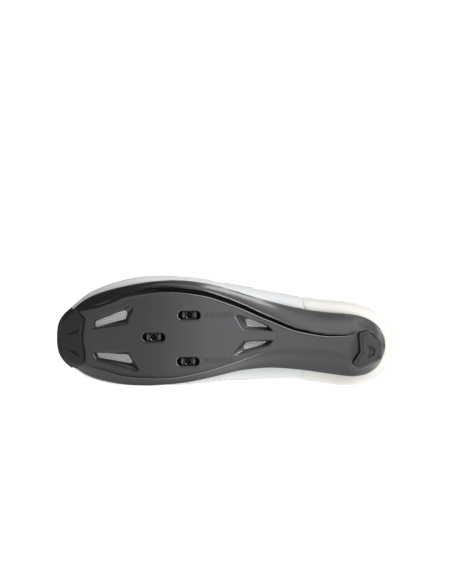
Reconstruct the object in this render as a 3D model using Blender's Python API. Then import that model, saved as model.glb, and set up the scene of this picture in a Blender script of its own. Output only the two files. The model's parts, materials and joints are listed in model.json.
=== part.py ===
"""A left road cycling shoe, lying on its arch side.

The shoe is modelled as if it stood: X runs from the toe to the heel, Y from the ground up to the collar and Z to
the outer (lateral) side of the foot. The last function turns it onto the three points that carry it on its arch
side and puts the middle of its box, on the floor, at the origin. All sizes are in metres.
"""

import math

import bmesh
import bpy
from mathutils import Matrix, Vector

# Main sizes of the sole
SOLE_LENGTH = 0.2675
SOLE_WIDTH = 0.0860
TOE_SPRING = 0.0170
ARCH_LIFT = 0.0120
FLANK_RISE = 0.0115
RIM_WALL = 0.0034
BED_DISH = 0.0050
EDGE_STEP = 0.0009
STEP_REACH = 0.06
TOE_ROUND = 0.045
HEEL_ROUND = 0.972
FLANK_CURVE = 0.8
CENTRE_SHARE = 0.94

# Grid of the sole: sections from toe to heel, the end margin of the first and last, and the places across the bed,
# each flank and the raised centre, as shares of their widths
SOLE_SECTIONS = 42
SOLE_END = 0.012
BED_PLACES = (0.0, 0.06, 0.18, 0.34, 0.50, 0.66, 0.82, 0.94, 1.0)
FLANK_PLACES = (0.0, 0.10, 0.35, 0.62, 0.82, 1.0 - STEP_REACH, 1.0)
CENTRE_PLACES = (0.25, 0.5, 0.75)

# Grid of the upper's wall: columns from toe to heel on each side, and heights from the sole to the top edge
WALL_COLUMNS = 36
WALL_HEIGHTS = (0.0, 0.10, 0.19, 0.30, 0.38, 0.46, 0.55, 0.64, 0.73, 0.82, 0.91, 1.0)

# Curve of the wall: the height share of its widest line, then how far each handle of its two curves reaches
WIDEST = 0.30
LOW_HANDLE = 0.40
BELLY_HANDLE = 0.35
RISE_HANDLE = 0.62
TOP_HANDLE = 0.36
TOP_FLAT = 0.10
TOP_LEVEL = 0.50
CROWN = 0.34

# Steps over which directions on the sole's outline and on the upper are measured
EDGE_SAMPLE = 0.004
WALL_SAMPLE = 0.010
HEIGHT_SAMPLE = 0.03
SLOPE_SAMPLE = 0.008

# Main sizes of the upper
INSTEP_HEIGHT = 0.0950
COLLAR_HALF = 0.0300
UPPER_BULGE = 0.0090
UPPER_WALL = 0.0024
BULGE_HEIGHT = 0.0200
LASTING_MARGIN = 0.0050
COUNTER_WALL = 0.0010
COUNTER_FRONT = 0.745
COUNTER_LOW = 0.10
COUNTER_HIGH = 0.73
TONGUE_WALL = 0.0036
TONGUE_TUCK = 0.24
TONGUE_FRONT = 0.336
TONGUE_TOP = 0.628
TONGUE_SECTIONS = 16
TONGUE_COLUMNS = 12
INSOLE_WALL = 0.0030
INSOLE_MARGIN = 0.0014
INSOLE_END = 0.03
INSOLE_SECTIONS = 30
STRAP_WALL = 0.0016
STRAP_WIDTH = 0.0240
STRAP_MIDDLES = (("strap_front", 0.425), ("strap_rear", 0.545))
STRAP_MEDIAL_END = -1.42
STRAP_LATERAL_END = 1.62
STRAP_COLUMNS = 22
STRAP_PLACES = (-1.0, -0.5, 0.0, 0.5, 1.0)

# Hardware under the sole
PIECE_GAP = 0.0003
SOFT_GAP = 0.0008
TONGUE_GAP = 0.0012
BUMPER_WALL = 0.0020
BUMPER_TAPER = 0.45
BUMPER_HEIGHT = 0.0050
BUMPER_LEAST = 0.0020
BUMPER_SECTIONS = 16
BUMPER_PLACES = (0.0, 0.12, 0.45, 0.8, 1.0)
BUMPER_THICKNESS = (0.5, 1.0, 1.0, 1.0, 0.5)
BUMPER_TOP = 0.7
BUMPER_ROUND = (0.4, 0.8)
PAD_BEVEL = 0.0012
SLOT_LENGTH = 0.0190
SLOT_WIDTH = 0.0075
NUT_LENGTH = 0.0120
NUT_WIDTH = 0.0125
NUT_PLATE = 0.0016
COLLAR_DIAMETER = 0.0064
THREAD_DIAMETER = 0.0046
COLLAR_DROP = 0.0016
CIRCLE_POINTS = 20
SCREEN_WALL = 0.0008
SCREEN_DEPTH = 0.0024
VENT_DEPTH = 0.0022
VENT_CORNER = 0.0012
VENT_FLARE = 0.006
CUT_BELOW = 0.010
CUT_ABOVE = 0.040

# Outline of the sole: station from toe to heel as a share of SOLE_LENGTH, then the middle of the section
# (outer side positive) and half its width as shares of SOLE_WIDTH.
OUTLINE = (
    ("station", "middle", "half"),
    (0.000, 0.013, 0.000),
    (0.005, 0.014, 0.128),
    (0.017, 0.014, 0.196),
    (0.048, 0.017, 0.290),
    (0.090, 0.024, 0.376),
    (0.139, 0.033, 0.428),
    (0.188, 0.040, 0.462),
    (0.237, 0.050, 0.484),
    (0.286, 0.060, 0.495),
    (0.335, 0.070, 0.496),
    (0.384, 0.076, 0.485),
    (0.433, 0.079, 0.462),
    (0.482, 0.078, 0.430),
    (0.531, 0.071, 0.391),
    (0.580, 0.056, 0.355),
    (0.629, 0.037, 0.326),
    (0.677, 0.015, 0.308),
    (0.726, -0.009, 0.297),
    (0.775, -0.033, 0.292),
    (0.824, -0.053, 0.294),
    (0.873, -0.069, 0.298),
    (0.898, -0.077, 0.297),
    (0.922, -0.082, 0.285),
    (0.947, -0.085, 0.260),
    (0.971, -0.083, 0.209),
    (0.995, -0.077, 0.090),
    (1.000, -0.076, 0.000),
)

# Edges of the raised centre of the sole, as shares of SOLE_WIDTH from the long axis.
CENTRE = (
    ("station", "medial", "lateral"),
    (0.000, -0.160, 0.200),
    (0.115, -0.275, 0.303),
    (0.220, -0.357, 0.413),
    (0.325, -0.368, 0.456),
    (0.430, -0.319, 0.418),
    (0.525, -0.237, 0.325),
    (0.636, -0.135, 0.175),
    (0.737, -0.108, 0.057),
    (0.830, -0.117, 0.014),
    (0.880, -0.172, 0.019),
    (0.915, -0.236, 0.052),
    (0.960, -0.220, 0.050),
    (1.000, -0.180, 0.020),
)

# Side view of the sole: the height of its underside as shares of TOE_SPRING and ARCH_LIFT, how far the flanks rise
# from the raised centre to the rim as shares of FLANK_RISE, and how deep the bed is as a share of BED_DISH.
PROFILE = (
    ("station", "spring", "arch", "flank_medial", "flank_lateral", "dish"),
    (0.000, 1.000, 0.000, 0.300, 0.300, 0.20),
    (0.060, 0.640, 0.000, 0.300, 0.300, 0.22),
    (0.130, 0.310, 0.000, 0.300, 0.300, 0.24),
    (0.200, 0.100, 0.000, 0.300, 0.300, 0.24),
    (0.270, 0.000, 0.000, 0.300, 0.300, 0.24),
    (0.420, 0.000, 0.000, 0.380, 0.380, 0.30),
    (0.500, 0.000, 0.280, 0.640, 0.600, 0.50),
    (0.580, 0.000, 0.720, 0.900, 0.820, 0.74),
    (0.680, 0.000, 1.000, 1.000, 0.950, 0.90),
    (0.780, 0.000, 0.960, 0.980, 0.960, 1.00),
    (0.880, 0.000, 0.720, 0.960, 0.960, 1.00),
    (0.940, 0.000, 0.660, 0.960, 0.960, 0.94),
    (1.000, 0.000, 0.720, 0.940, 0.940, 0.80),
)

# Upper: station of the sole's edge, and for the wall that rises from it the station of its top edge, half the
# opening there (share of COLLAR_HALF), the height of the edge (share of INSTEP_HEIGHT), how flat the wall
# arrives there (1 is level), how high its widest line lies (share of BULGE_HEIGHT above the sole) and how far that
# line stands out past the sole on each side (shares of UPPER_BULGE).
UPPER = (
    ("station", "top", "opening", "height", "level", "belly", "medial", "lateral"),
    (0.000, 0.105, 0.000, 0.475, 1.00, 0.52, 0.18, 0.20),
    (0.060, 0.125, 0.000, 0.490, 1.00, 0.54, 0.26, 0.28),
    (0.140, 0.175, 0.000, 0.530, 1.00, 0.56, 0.26, 0.45),
    (0.220, 0.230, 0.000, 0.575, 1.00, 0.60, 0.14, 0.54),
    (0.300, 0.300, 0.000, 0.630, 1.00, 0.64, 0.12, 0.43),
    (0.328, 0.328, 0.000, 0.655, 0.96, 0.66, 0.18, 0.36),
    (0.345, 0.345, 0.170, 0.668, 0.92, 0.68, 0.24, 0.33),
    (0.400, 0.400, 0.330, 0.735, 0.84, 0.72, 0.38, 0.24),
    (0.480, 0.480, 0.420, 0.845, 0.74, 0.78, 0.66, 0.28),
    (0.560, 0.560, 0.500, 0.945, 0.62, 0.82, 1.08, 0.50),
    (0.605, 0.600, 0.580, 0.965, 0.50, 0.82, 1.17, 0.70),
    (0.640, 0.635, 0.800, 0.880, 0.34, 0.82, 1.18, 0.82),
    (0.700, 0.695, 0.960, 0.720, 0.20, 0.84, 1.06, 0.95),
    (0.780, 0.775, 1.000, 0.640, 0.12, 0.76, 0.95, 0.90),
    (0.860, 0.850, 0.900, 0.655, 0.12, 0.74, 0.92, 0.90),
    (0.930, 0.915, 0.700, 0.695, 0.12, 0.74, 0.74, 0.80),
    (0.980, 0.960, 0.420, 0.740, 0.12, 0.76, 0.76, 0.80),
    (1.000, 0.980, 0.000, 0.770, 0.12, 0.76, 0.82, 0.82),
)

# Cleat slots: station and place across, as shares of SOLE_LENGTH and SOLE_WIDTH.
SLOTS = (
    ("name", "station", "across"),
    ("front", 0.2895, 0.028),
    ("rear_medial", 0.3940, -0.206),
    ("rear_lateral", 0.3985, 0.234),
)

# Vents: the corners of each recess in the underside, then of the throat at its bottom, as (station, across) shares
# in order round it.
VENTS = (
    (
        "front_lateral",
        ((0.100, 0.105), (0.106, 0.191), (0.220, 0.330), (0.228, 0.309), (0.211, 0.167)),
        ((0.111, 0.116), (0.109, 0.176), (0.200, 0.290), (0.211, 0.270), (0.205, 0.199)),
    ),
    (
        "front_medial",
        ((0.102, -0.116), (0.215, -0.112), (0.244, -0.274), (0.237, -0.286), (0.113, -0.187)),
        ((0.113, -0.120), (0.211, -0.136), (0.225, -0.207), (0.218, -0.223), (0.119, -0.171)),
    ),
    (
        "rear_lateral",
        ((0.537, 0.226), (0.551, 0.230), (0.636, 0.136), (0.657, 0.065), (0.563, 0.088)),
        ((0.567, 0.187), (0.582, 0.195), (0.634, 0.124), (0.641, 0.105), (0.577, 0.112)),
    ),
    (
        "rear_medial",
        ((0.562, -0.018), (0.656, -0.014), (0.642, -0.069), (0.545, -0.156), (0.534, -0.132)),
        ((0.570, -0.029), (0.638, -0.022), (0.622, -0.061), (0.566, -0.105), (0.562, -0.081)),
    ),
)

# Heel pad: outline and opening, as (station, across) shares.
PAD_OUTLINE = (
    (0.917, 0.049), (0.939, 0.076), (0.986, -0.046), (0.985, -0.188),
    (0.921, -0.282), (0.898, -0.227), (0.921, -0.125), (0.917, 0.010),
)
PAD_OPENING = ((0.949, -0.058), (0.965, -0.093), (0.961, -0.165), (0.942, -0.188))
PAD_CORNER = 0.0022

# Rear edge of the toe bumper, from the medial to the lateral side, as (station, across) shares.
BUMPER_EDGE = ((0.050, -0.281), (0.076, -0.203), (0.075, -0.121), (0.068, 0.000), (0.070, 0.070),
               (0.075, 0.180), (0.075, 0.207), (0.042, 0.303))
BUMPER_REACH = 0.130

# Densities, in kilograms per cubic metre, which place the centre of mass
DENSITY = {
    "outsole": 1250.0, "toe_bumper": 1150.0, "heel_pad": 1150.0, "cleat_nut": 7850.0, "vent_screen": 600.0,
    "upper": 800.0, "heel_counter": 900.0, "tongue": 250.0, "insole": 200.0, "strap": 700.0,
}

COLOURS = {
    "sole": ((0.045, 0.045, 0.048), 0.38, 0.0),
    "rubber": ((0.022, 0.024, 0.028), 0.70, 0.0),
    "steel": ((0.18, 0.18, 0.19), 0.35, 1.0),
    "screen": ((0.45, 0.46, 0.47), 0.80, 0.0),
    "upper": ((0.72, 0.74, 0.76), 0.50, 0.0),
    "counter": ((0.80, 0.79, 0.75), 0.45, 0.0),
    "padding": ((0.60, 0.61, 0.63), 0.85, 0.0),
}


def clear_scene():
    """Remove whatever the scene holds."""
    for obj in list(bpy.data.objects):
        bpy.data.objects.remove(obj, do_unlink=True)


def material(name):
    """The Principled material of a named colour, roughness and metallic value."""
    found = bpy.data.materials.get(name)
    if found:
        return found
    colour, roughness, metallic = COLOURS[name]
    made = bpy.data.materials.new(name)
    made.use_nodes = True
    shader = made.node_tree.nodes["Principled BSDF"]
    shader.inputs["Base Color"].default_value = (*colour, 1.0)
    shader.inputs["Roughness"].default_value = roughness
    shader.inputs["Metallic"].default_value = metallic
    return made


# Tables and curves

def spread(station):
    """A station's place on a scale that opens up the two round ends."""
    return math.acos(1.0 - 2.0 * min(max(station, 0.0), 1.0)) / math.pi


def unspread(place):
    """The station at a place on that scale."""
    return (1.0 - math.cos(math.pi * place)) / 2.0


def read(table, column, station):
    """A table's column at a station, on a smooth curve that never overshoots its rows."""
    column = table[0].index(column)
    rows = table[1:]
    knots = [spread(row[0]) for row in rows]
    values = [row[column] for row in rows]
    place = min(max(spread(station), knots[0]), knots[-1])
    last = len(rows) - 2
    i = next((k for k in range(last) if place < knots[k + 1]), last)

    def slope(k):
        if k == 0 or k == len(rows) - 1:
            j = min(k, len(rows) - 2)
            return (values[j + 1] - values[j]) / (knots[j + 1] - knots[j])
        before = (values[k] - values[k - 1]) / (knots[k] - knots[k - 1])
        after = (values[k + 1] - values[k]) / (knots[k + 1] - knots[k])
        if before * after <= 0.0:
            return 0.0
        return 2.0 * before * after / (before + after)

    span = knots[i + 1] - knots[i]
    t = (place - knots[i]) / span
    return (
        values[i] * (1 + 2 * t) * (1 - t) ** 2
        + slope(i) * span * t * (1 - t) ** 2
        + values[i + 1] * t * t * (3 - 2 * t)
        - slope(i + 1) * span * t * t * (1 - t)
    )


def bezier(a, b, c, d, t):
    """A point on a cubic curve."""
    return a * (1 - t) ** 3 + b * 3 * t * (1 - t) ** 2 + c * 3 * t * t * (1 - t) + d * t ** 3


def ease(t):
    """A share from 0 to 1 with level ends."""
    t = min(max(t, 0.0), 1.0)
    return t * t * (3.0 - 2.0 * t)


# Sole

def edge(side, station, inset=0.0):
    """(x, z) on the sole's outline, moved inwards by inset. Side is -1 medial, 1 lateral."""
    place = spread(station)

    def at(p):
        side_now = side
        if p < 0.0 or p > 1.0:
            p = -p if p < 0.0 else 2.0 - p
            side_now = -side
        s = unspread(p)
        across = read(OUTLINE, "middle", s) + side_now * read(OUTLINE, "half", s)
        return Vector((s * SOLE_LENGTH, across * SOLE_WIDTH))

    here = at(place)
    along = at(place + EDGE_SAMPLE) - at(place - EDGE_SAMPLE)
    outward = Vector((-along.y, along.x)).normalized() * side
    return here - outward * inset, outward


def underside(x, z):
    """Height of the sole's underside at a place in plan."""
    station = min(max(x / SOLE_LENGTH, 0.0), 1.0)
    across = z / SOLE_WIDTH
    side = "medial" if across < centre_middle(station) else "lateral"
    low, high = centre_edges(station)
    ridge = low if side == "medial" else high
    rim = read(OUTLINE, "middle", station) + (-1 if side == "medial" else 1) * read(OUTLINE, "half", station)
    reach = max(abs(rim - ridge), 0.01)
    out = min(max((abs(across - centre_middle(station)) - abs(ridge - centre_middle(station))) / reach, 0.0), 1.0)
    end = max((station - HEEL_ROUND) / (1.0 - HEEL_ROUND), (TOE_ROUND - station) / TOE_ROUND, 0.0)
    share = min(math.hypot(out, end), 1.0)
    height = TOE_SPRING * read(PROFILE, "spring", station) + ARCH_LIFT * read(PROFILE, "arch", station)
    flank = FLANK_RISE * read(PROFILE, "flank_" + side, station) * ease(share) ** FLANK_CURVE
    return height + max(flank, EDGE_STEP * min(share / STEP_REACH, 1.0))


def centre_edges(station):
    """The edges of the raised centre, kept inside the outline."""
    middle = read(OUTLINE, "middle", station)
    half = CENTRE_SHARE * read(OUTLINE, "half", station)
    low = max(read(CENTRE, "medial", station), middle - half)
    high = min(read(CENTRE, "lateral", station), middle + half)
    return low, high


def centre_middle(station):
    """The middle of the raised centre."""
    low, high = centre_edges(station)
    return (low + high) / 2.0


def rim_top(x, side):
    """Height of the top of the sole's rim."""
    station = min(max(x / SOLE_LENGTH, 0.0), 1.0)
    flank = read(PROFILE, "flank_medial" if side < 0 else "flank_lateral", station)
    height = TOE_SPRING * read(PROFILE, "spring", station) + ARCH_LIFT * read(PROFILE, "arch", station)
    return height + FLANK_RISE * flank + RIM_WALL


def bed(x, z):
    """Height of the sole's upper face, dished a little between its rims."""
    station = min(max(x / SOLE_LENGTH, 0.0), 1.0)
    half = max(read(OUTLINE, "half", station) * SOLE_WIDTH, 1e-6)
    share = min(max((z - read(OUTLINE, "middle", station) * SOLE_WIDTH) / half, -1.0), 1.0)
    medial, lateral = rim_top(x, -1), rim_top(x, 1)
    level = medial + (lateral - medial) * (share + 1.0) / 2.0
    return level - BED_DISH * read(PROFILE, "dish", station) * (1.0 - share * share)


def mesh_object(name, bm, finish, parent):
    """An object from a bmesh, in the shoe's own frame under its parent. A closed mesh faces out."""
    bmesh.ops.remove_doubles(bm, verts=bm.verts, dist=1e-7)
    bmesh.ops.recalc_face_normals(bm, faces=bm.faces)
    if all(edge_of.is_manifold for edge_of in bm.edges) and bm.calc_volume(signed=True) < 0.0:
        bmesh.ops.reverse_faces(bm, faces=bm.faces)
    mesh = bpy.data.meshes.new(name)
    bm.to_mesh(mesh)
    bm.free()
    obj = bpy.data.objects.new(name, mesh)
    bpy.context.scene.collection.objects.link(obj)
    mesh.materials.append(material(finish))
    mesh.shade_smooth()
    mesh.set_sharp_from_angle(angle=math.radians(35))
    obj.parent = parent
    return obj


def loft(rings, closed_ends=True, closed_rings=True):
    """A bmesh skin through rings of points, with its ends filled."""
    bm = bmesh.new()
    made = [[bm.verts.new(point) for point in ring] for ring in rings]
    count = len(made[0])
    for first, second in zip(made, made[1:]):
        for j in range(count if closed_rings else count - 1):
            k = (j + 1) % count
            bm.faces.new((first[j], first[k], second[k], second[j]))
    if closed_ends:
        bm.faces.new(made[0][::-1])
        bm.faces.new(made[-1])
    return bm


def boolean(obj, cutter, name):
    """Cut a hidden solid out of an object."""
    cutter.hide_render = True
    cutter.display_type = "WIRE"
    cut = obj.modifiers.new(name, "BOOLEAN")
    cut.operation = "DIFFERENCE"
    cut.solver = "MANIFOLD"
    cut.object = cutter


def across_places(low, high, ridge_low, ridge_high):
    """Places across a section: closer on the flanks and level over the raised centre."""
    places = [low + (ridge_low - low) * t for t in FLANK_PLACES]
    places += [ridge_low + (ridge_high - ridge_low) * t for t in CENTRE_PLACES]
    places += [high + (ridge_high - high) * t for t in reversed(FLANK_PLACES)]
    return places


def build_outsole(parent):
    """The stiff plate with its rim, raised centre and scooped waist."""
    rings = []
    for i in range(SOLE_SECTIONS + 1):
        station = unspread(SOLE_END + (1.0 - 2.0 * SOLE_END) * i / SOLE_SECTIONS)
        x = station * SOLE_LENGTH
        middle = read(OUTLINE, "middle", station)
        half = read(OUTLINE, "half", station)
        ridge_low, ridge_high = centre_edges(station)
        low, high = middle - half, middle + half
        under = across_places(low, high, ridge_low, ridge_high)
        ring = [Vector((x, underside(x, z * SOLE_WIDTH), z * SOLE_WIDTH)) for z in under]
        over = [high + (low - high) * t for t in BED_PLACES]
        ring += [Vector((x, bed(x, z * SOLE_WIDTH), z * SOLE_WIDTH)) for z in over]
        rings.append(ring)
    sole = mesh_object("outsole", loft(rings), "sole", parent)
    boolean(sole, pad_cutter(parent), "pad seat")
    for name, recess, throat in VENTS:
        boolean(sole, vent_cutter(name, recess, throat, parent), "vent " + name)
    for name, station, across in SLOTS[1:]:
        boolean(sole, slot_cutter(name, station, across, parent), "slot " + name)
        boolean(sole, nut_cutter(name, station, across, parent), "nut seat " + name)
    return sole


def plan_polygon(corners, radius, grow=0.0, steps=3):
    """Corners given as shares, rounded and moved outwards by grow, as (x, z) points."""
    points = [Vector((s * SOLE_LENGTH, z * SOLE_WIDTH)) for s, z in corners]
    area = sum(a.x * b.y - b.x * a.y for a, b in zip(points, points[1:] + points[:1]))
    turn = 1.0 if area > 0.0 else -1.0
    moved = []
    count = len(points)
    for i in range(count):
        a, b, c = points[i - 1], points[i], points[(i + 1) % count]
        into, away = (b - a).normalized(), (c - b).normalized()
        n1 = Vector((into.y, -into.x)) * turn
        n2 = Vector((away.y, -away.x)) * turn
        moved.append(b + (n1 + n2) * (grow / (1.0 + n1.dot(n2))))
    rounded = []
    for i in range(count):
        a, b, c = moved[i - 1], moved[i], moved[(i + 1) % count]
        back, ahead = a - b, c - b
        reach = min(radius, 0.4 * back.length, 0.4 * ahead.length)
        start, end = b + back.normalized() * reach, b + ahead.normalized() * reach
        for k in range(steps + 1):
            t = k / steps
            rounded.append(start * (1 - t) ** 2 + b * 2 * t * (1 - t) + end * t * t)
    return rounded


def vent_cutter(name, recess, throat, parent):
    """A vent's opening: walls that slope from the recess to its throat, then straight through."""
    levels = (
        (recess, -CUT_BELOW, VENT_FLARE), (recess, 0.0, 0.0), (throat, VENT_DEPTH, 0.0), (throat, CUT_ABOVE, 0.0),
    )
    rings = [vent_ring(recess, corners, rise, grow) for corners, rise, grow in levels]
    return mesh_object("cut_vent_" + name, loft(rings), "sole", parent)


def vent_ring(recess, corners, rise, grow):
    """An outline of a vent, on a plane that lies along the underside at the middle of its recess."""
    middle = sum((Vector(c) for c in recess), Vector((0.0, 0.0))) / len(recess)
    x, z, step = middle.x * SOLE_LENGTH, middle.y * SOLE_WIDTH, SLOPE_SAMPLE
    slope = (underside(x + step, z) - underside(x - step, z)) / (2.0 * step)
    ring = plan_polygon(corners, VENT_CORNER + max(grow, 0.0), grow)
    return [Vector((p.x, underside(x, z) + rise + slope * (p.x - x), p.y)) for p in ring]


def build_screen(name, recess, throat, parent):
    """The mesh insert that closes a vent's throat, just inside its walls."""
    rings = [vent_ring(recess, throat, SCREEN_DEPTH + rise, -PIECE_GAP) for rise in (0.0, SCREEN_WALL)]
    return mesh_object("vent_screen_" + name, loft(rings), "screen", parent)


def stadium(x, z, length, width, steps=6):
    """Points round a slot with round ends, in plan."""
    points = []
    for end in (1, -1):
        for k in range(steps + 1):
            angle = math.pi * (k / steps - 0.5)
            points.append(
                Vector((x + end * ((length - width) / 2 + width / 2 * math.cos(angle)),
                        z + end * width / 2 * math.sin(angle)))
            )
    return points


def slot_cutter(name, station, across, parent):
    """A cleat slot, straight through the sole."""
    outline = stadium(station * SOLE_LENGTH, across * SOLE_WIDTH, SLOT_LENGTH, SLOT_WIDTH)
    rings = [[Vector((p.x, y, p.y)) for p in outline] for y in (-CUT_BELOW, CUT_ABOVE)]
    return mesh_object("cut_slot_" + name, loft(rings), "sole", parent)


def nut_floor(station, across):
    """Height of the seat that a nut's plate lies on."""
    x, z = station * SOLE_LENGTH, across * SOLE_WIDTH
    return bed(x, z) - NUT_PLATE - 2.0 * PIECE_GAP


def nut_cutter(name, station, across, parent):
    """The channel in the sole's upper face in which a nut slides along its slot."""
    x, z = station * SOLE_LENGTH, across * SOLE_WIDTH
    length = SLOT_LENGTH - SLOT_WIDTH + NUT_LENGTH + 2.0 * PIECE_GAP
    width = NUT_WIDTH + 2.0 * PIECE_GAP
    corners = ((-1, -1), (1, -1), (1, 1), (-1, 1))
    low = nut_floor(station, across) - PIECE_GAP
    rings = [[Vector((x + a * length / 2, y, z + b * width / 2)) for a, b in corners] for y in (low, CUT_ABOVE)]
    return mesh_object("cut_nut_" + name, loft(rings), "sole", parent)


def build_nut(name, station, across, parent):
    """A threaded plate: a flange on the seat and a round collar down in the slot."""
    x, z = station * SOLE_LENGTH, across * SOLE_WIDTH
    seat = nut_floor(station, across)
    angles = [2 * math.pi * k / CIRCLE_POINTS for k in range(CIRCLE_POINTS)]
    circle = [(math.cos(angle), math.sin(angle)) for angle in angles]

    def ring(radius, y):
        return [Vector((x + radius * c, y, z + radius * s)) for c, s in circle]

    def plate(y):
        found = []
        for c, s in circle:
            scale = 1.0 / max(abs(c) / (NUT_LENGTH / 2), abs(s) / (NUT_WIDTH / 2))
            found.append(Vector((x + c * scale, y, z + s * scale)))
        return found

    bore, collar = THREAD_DIAMETER / 2, COLLAR_DIAMETER / 2
    rings = [
        ring(bore, seat - COLLAR_DROP), ring(collar, seat - COLLAR_DROP), ring(collar, seat), plate(seat),
        plate(seat + NUT_PLATE), ring(bore, seat + NUT_PLATE), ring(bore, seat - COLLAR_DROP),
    ]
    return mesh_object("cleat_nut_" + name, loft(rings, closed_ends=False), "steel", parent)


def pad_seat():
    """Height of the pocket's floor in the sole, above every point of the pad's outline."""
    return max(underside(p.x, p.y) for p in plan_polygon(PAD_OUTLINE, PAD_CORNER))


def pad_cutter(parent):
    """The pocket in the sole that holds the walking pad."""
    outline = plan_polygon(PAD_OUTLINE, PAD_CORNER + PIECE_GAP, PIECE_GAP)
    rings = [[Vector((p.x, y, p.y)) for p in outline] for y in (-CUT_BELOW, pad_seat())]
    return mesh_object("cut_pad_seat", loft(rings), "sole", parent)


def build_heel_pad(parent):
    """The walking pad: flat on the ground, bevelled, with an opening through it."""
    outer = plan_polygon(PAD_OUTLINE, PAD_CORNER)
    hole = plan_polygon(PAD_OPENING, PAD_CORNER / 2)
    middle = sum(hole, Vector((0.0, 0.0))) / len(hole)
    inner = [on_outline(hole, middle, point) for point in outer]
    bevel = plan_polygon(PAD_OUTLINE, PAD_CORNER - PAD_BEVEL, -PAD_BEVEL)
    lips = [b + (a - b).normalized() * PAD_BEVEL for a, b in zip(outer, inner)]
    seat = pad_seat() - PIECE_GAP
    levels = (
        (inner, seat), (outer, seat), (outer, PAD_BEVEL), (bevel, 0.0), (lips, 0.0), (inner, PAD_BEVEL), (inner, seat),
    )
    rings = [[Vector((p.x, y, p.y)) for p in ring] for ring, y in levels]
    return mesh_object("heel_pad", loft(rings, closed_ends=False), "rubber", parent)


def on_outline(outline, middle, point):
    """Where the line from the middle to a point crosses an outline."""
    ray = point - middle
    best = None
    for a, b in zip(outline, outline[1:] + outline[:1]):
        side = b - a
        cross = ray.x * side.y - ray.y * side.x
        if abs(cross) < 1e-15:
            continue
        t = ((a.x - middle.x) * side.y - (a.y - middle.y) * side.x) / cross
        u = ((a.x - middle.x) * ray.y - (a.y - middle.y) * ray.x) / cross
        if t > 0.0 and -1e-6 <= u <= 1.0 + 1e-6 and (best is None or t > best):
            best = t
    return middle + ray * best


def build_bumper(parent):
    """The rubber cap: under the toe, round its edge and a little way up the front."""
    rings = []
    edge_points = [Vector((s * SOLE_LENGTH, z * SOLE_WIDTH)) for s, z in BUMPER_EDGE]
    lengths = [0.0]
    for a, b in zip(edge_points, edge_points[1:]):
        lengths.append(lengths[-1] + (b - a).length)
    for k in range(BUMPER_SECTIONS + 1):
        t = k / BUMPER_SECTIONS
        place = BUMPER_REACH * (2.0 * t - 1.0)
        wall = BUMPER_WALL * (1.0 - BUMPER_TAPER * (2.0 * t - 1.0) ** 4)
        rim, outward = edge(-1 if place < 0 else 1, unspread(abs(place)))
        reach = lengths[-1] * t
        i = next(j for j in range(len(lengths) - 1) if reach <= lengths[j + 1] + 1e-9)
        rear = edge_points[i].lerp(edge_points[i + 1], (reach - lengths[i]) / (lengths[i + 1] - lengths[i]))
        if (rear - rim).length < BUMPER_LEAST:
            rear = rim - outward * BUMPER_LEAST
        path = [rear.lerp(rim, u) for u in BUMPER_PLACES]
        inner = [Vector((p.x, underside(p.x, p.y) - SOFT_GAP, p.y)) for p in path]
        low = inner[-1].y
        front = rim + outward * SOFT_GAP
        inner[-1] = Vector((front.x, low, front.y))
        top = min(low + PIECE_GAP + RIM_WALL, low + BUMPER_HEIGHT)
        inner.append(Vector((front.x, top, front.y)))
        lip = front + outward * (wall * BUMPER_TOP)
        face = front + outward * wall
        corner = front + outward * (wall * BUMPER_ROUND[0])
        outer = [
            Vector((lip.x, top, lip.y)), Vector((face.x, low, face.y)),
            Vector((corner.x, low - wall * BUMPER_ROUND[1], corner.y)),
        ]
        under = [Vector((p.x, q.y - wall * s, p.y)) for p, q, s in zip(path, inner, BUMPER_THICKNESS)]
        rings.append(inner + outer + under[-2::-1])
    return mesh_object("toe_bumper", loft(rings), "rubber", parent)


# Upper

def wall_point(side, station, height):
    """A point on the upper's outer face: height runs from 0 at the sole to 1 at the top edge."""
    feather, outward = edge(side, station, LASTING_MARGIN)
    rim, _ = edge(side, station)
    name = "medial" if side < 0 else "lateral"
    out = UPPER_BULGE * read(UPPER, name, station)
    widest = rim + outward * out
    floor = rim_top(rim.x, side) + PIECE_GAP
    start = Vector((feather.x, max(rim_top(feather.x, side) + PIECE_GAP, floor), feather.y))
    lip = Vector((rim.x, floor, rim.y))
    belly = Vector((widest.x, floor + BULGE_HEIGHT * read(UPPER, "belly", station), widest.y))
    top = top_edge(side, station)
    if height < WIDEST:
        low = lip + Vector((outward.x, 0.0, outward.y)) * out * LOW_HANDLE
        under_belly = Vector((belly.x, floor + (belly.y - floor) * BELLY_HANDLE, belly.z))
        return bezier(start, low, under_belly, belly, height / WIDEST)
    t = (height - WIDEST) / (1.0 - WIDEST)
    level = read(UPPER, "level", station)
    rise = top.y - belly.y
    plan = Vector((belly.x - top.x, 0.0, belly.z - top.z))
    leave = belly + Vector((0.0, RISE_HANDLE * rise, 0.0))
    arrive = top + plan * (TOP_FLAT + TOP_LEVEL * level) - Vector((0.0, rise * TOP_HANDLE * (1.0 - level), 0.0))
    return bezier(belly, leave, arrive, top, t)


def top_edge(side, station):
    """The upper's top edge: the ridge over the toes, then the throat and the collar."""
    top = read(UPPER, "top", station)
    across = read(OUTLINE, "middle", top) * SOLE_WIDTH
    across += side * COLLAR_HALF * read(UPPER, "opening", station)
    return Vector((top * SOLE_LENGTH, INSTEP_HEIGHT * read(UPPER, "height", station), across))


def girth_point(station, place):
    """A point round the foot: place 0 is over the throat's middle, 1 its lateral edge, 2 the sole there; negative
    places lie on the medial side."""
    side = -1 if place < 0 else 1
    reach = abs(place)
    if reach > 1.0:
        return wall_point(side, station, 2.0 - reach)
    here = top_edge(side, station)
    other = top_edge(-side, station)
    middle = (here + other) / 2.0
    crown = CROWN * (here - middle).length
    point = middle.lerp(here, reach)
    point.y += crown * (1.0 - reach * reach)
    return point


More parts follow.
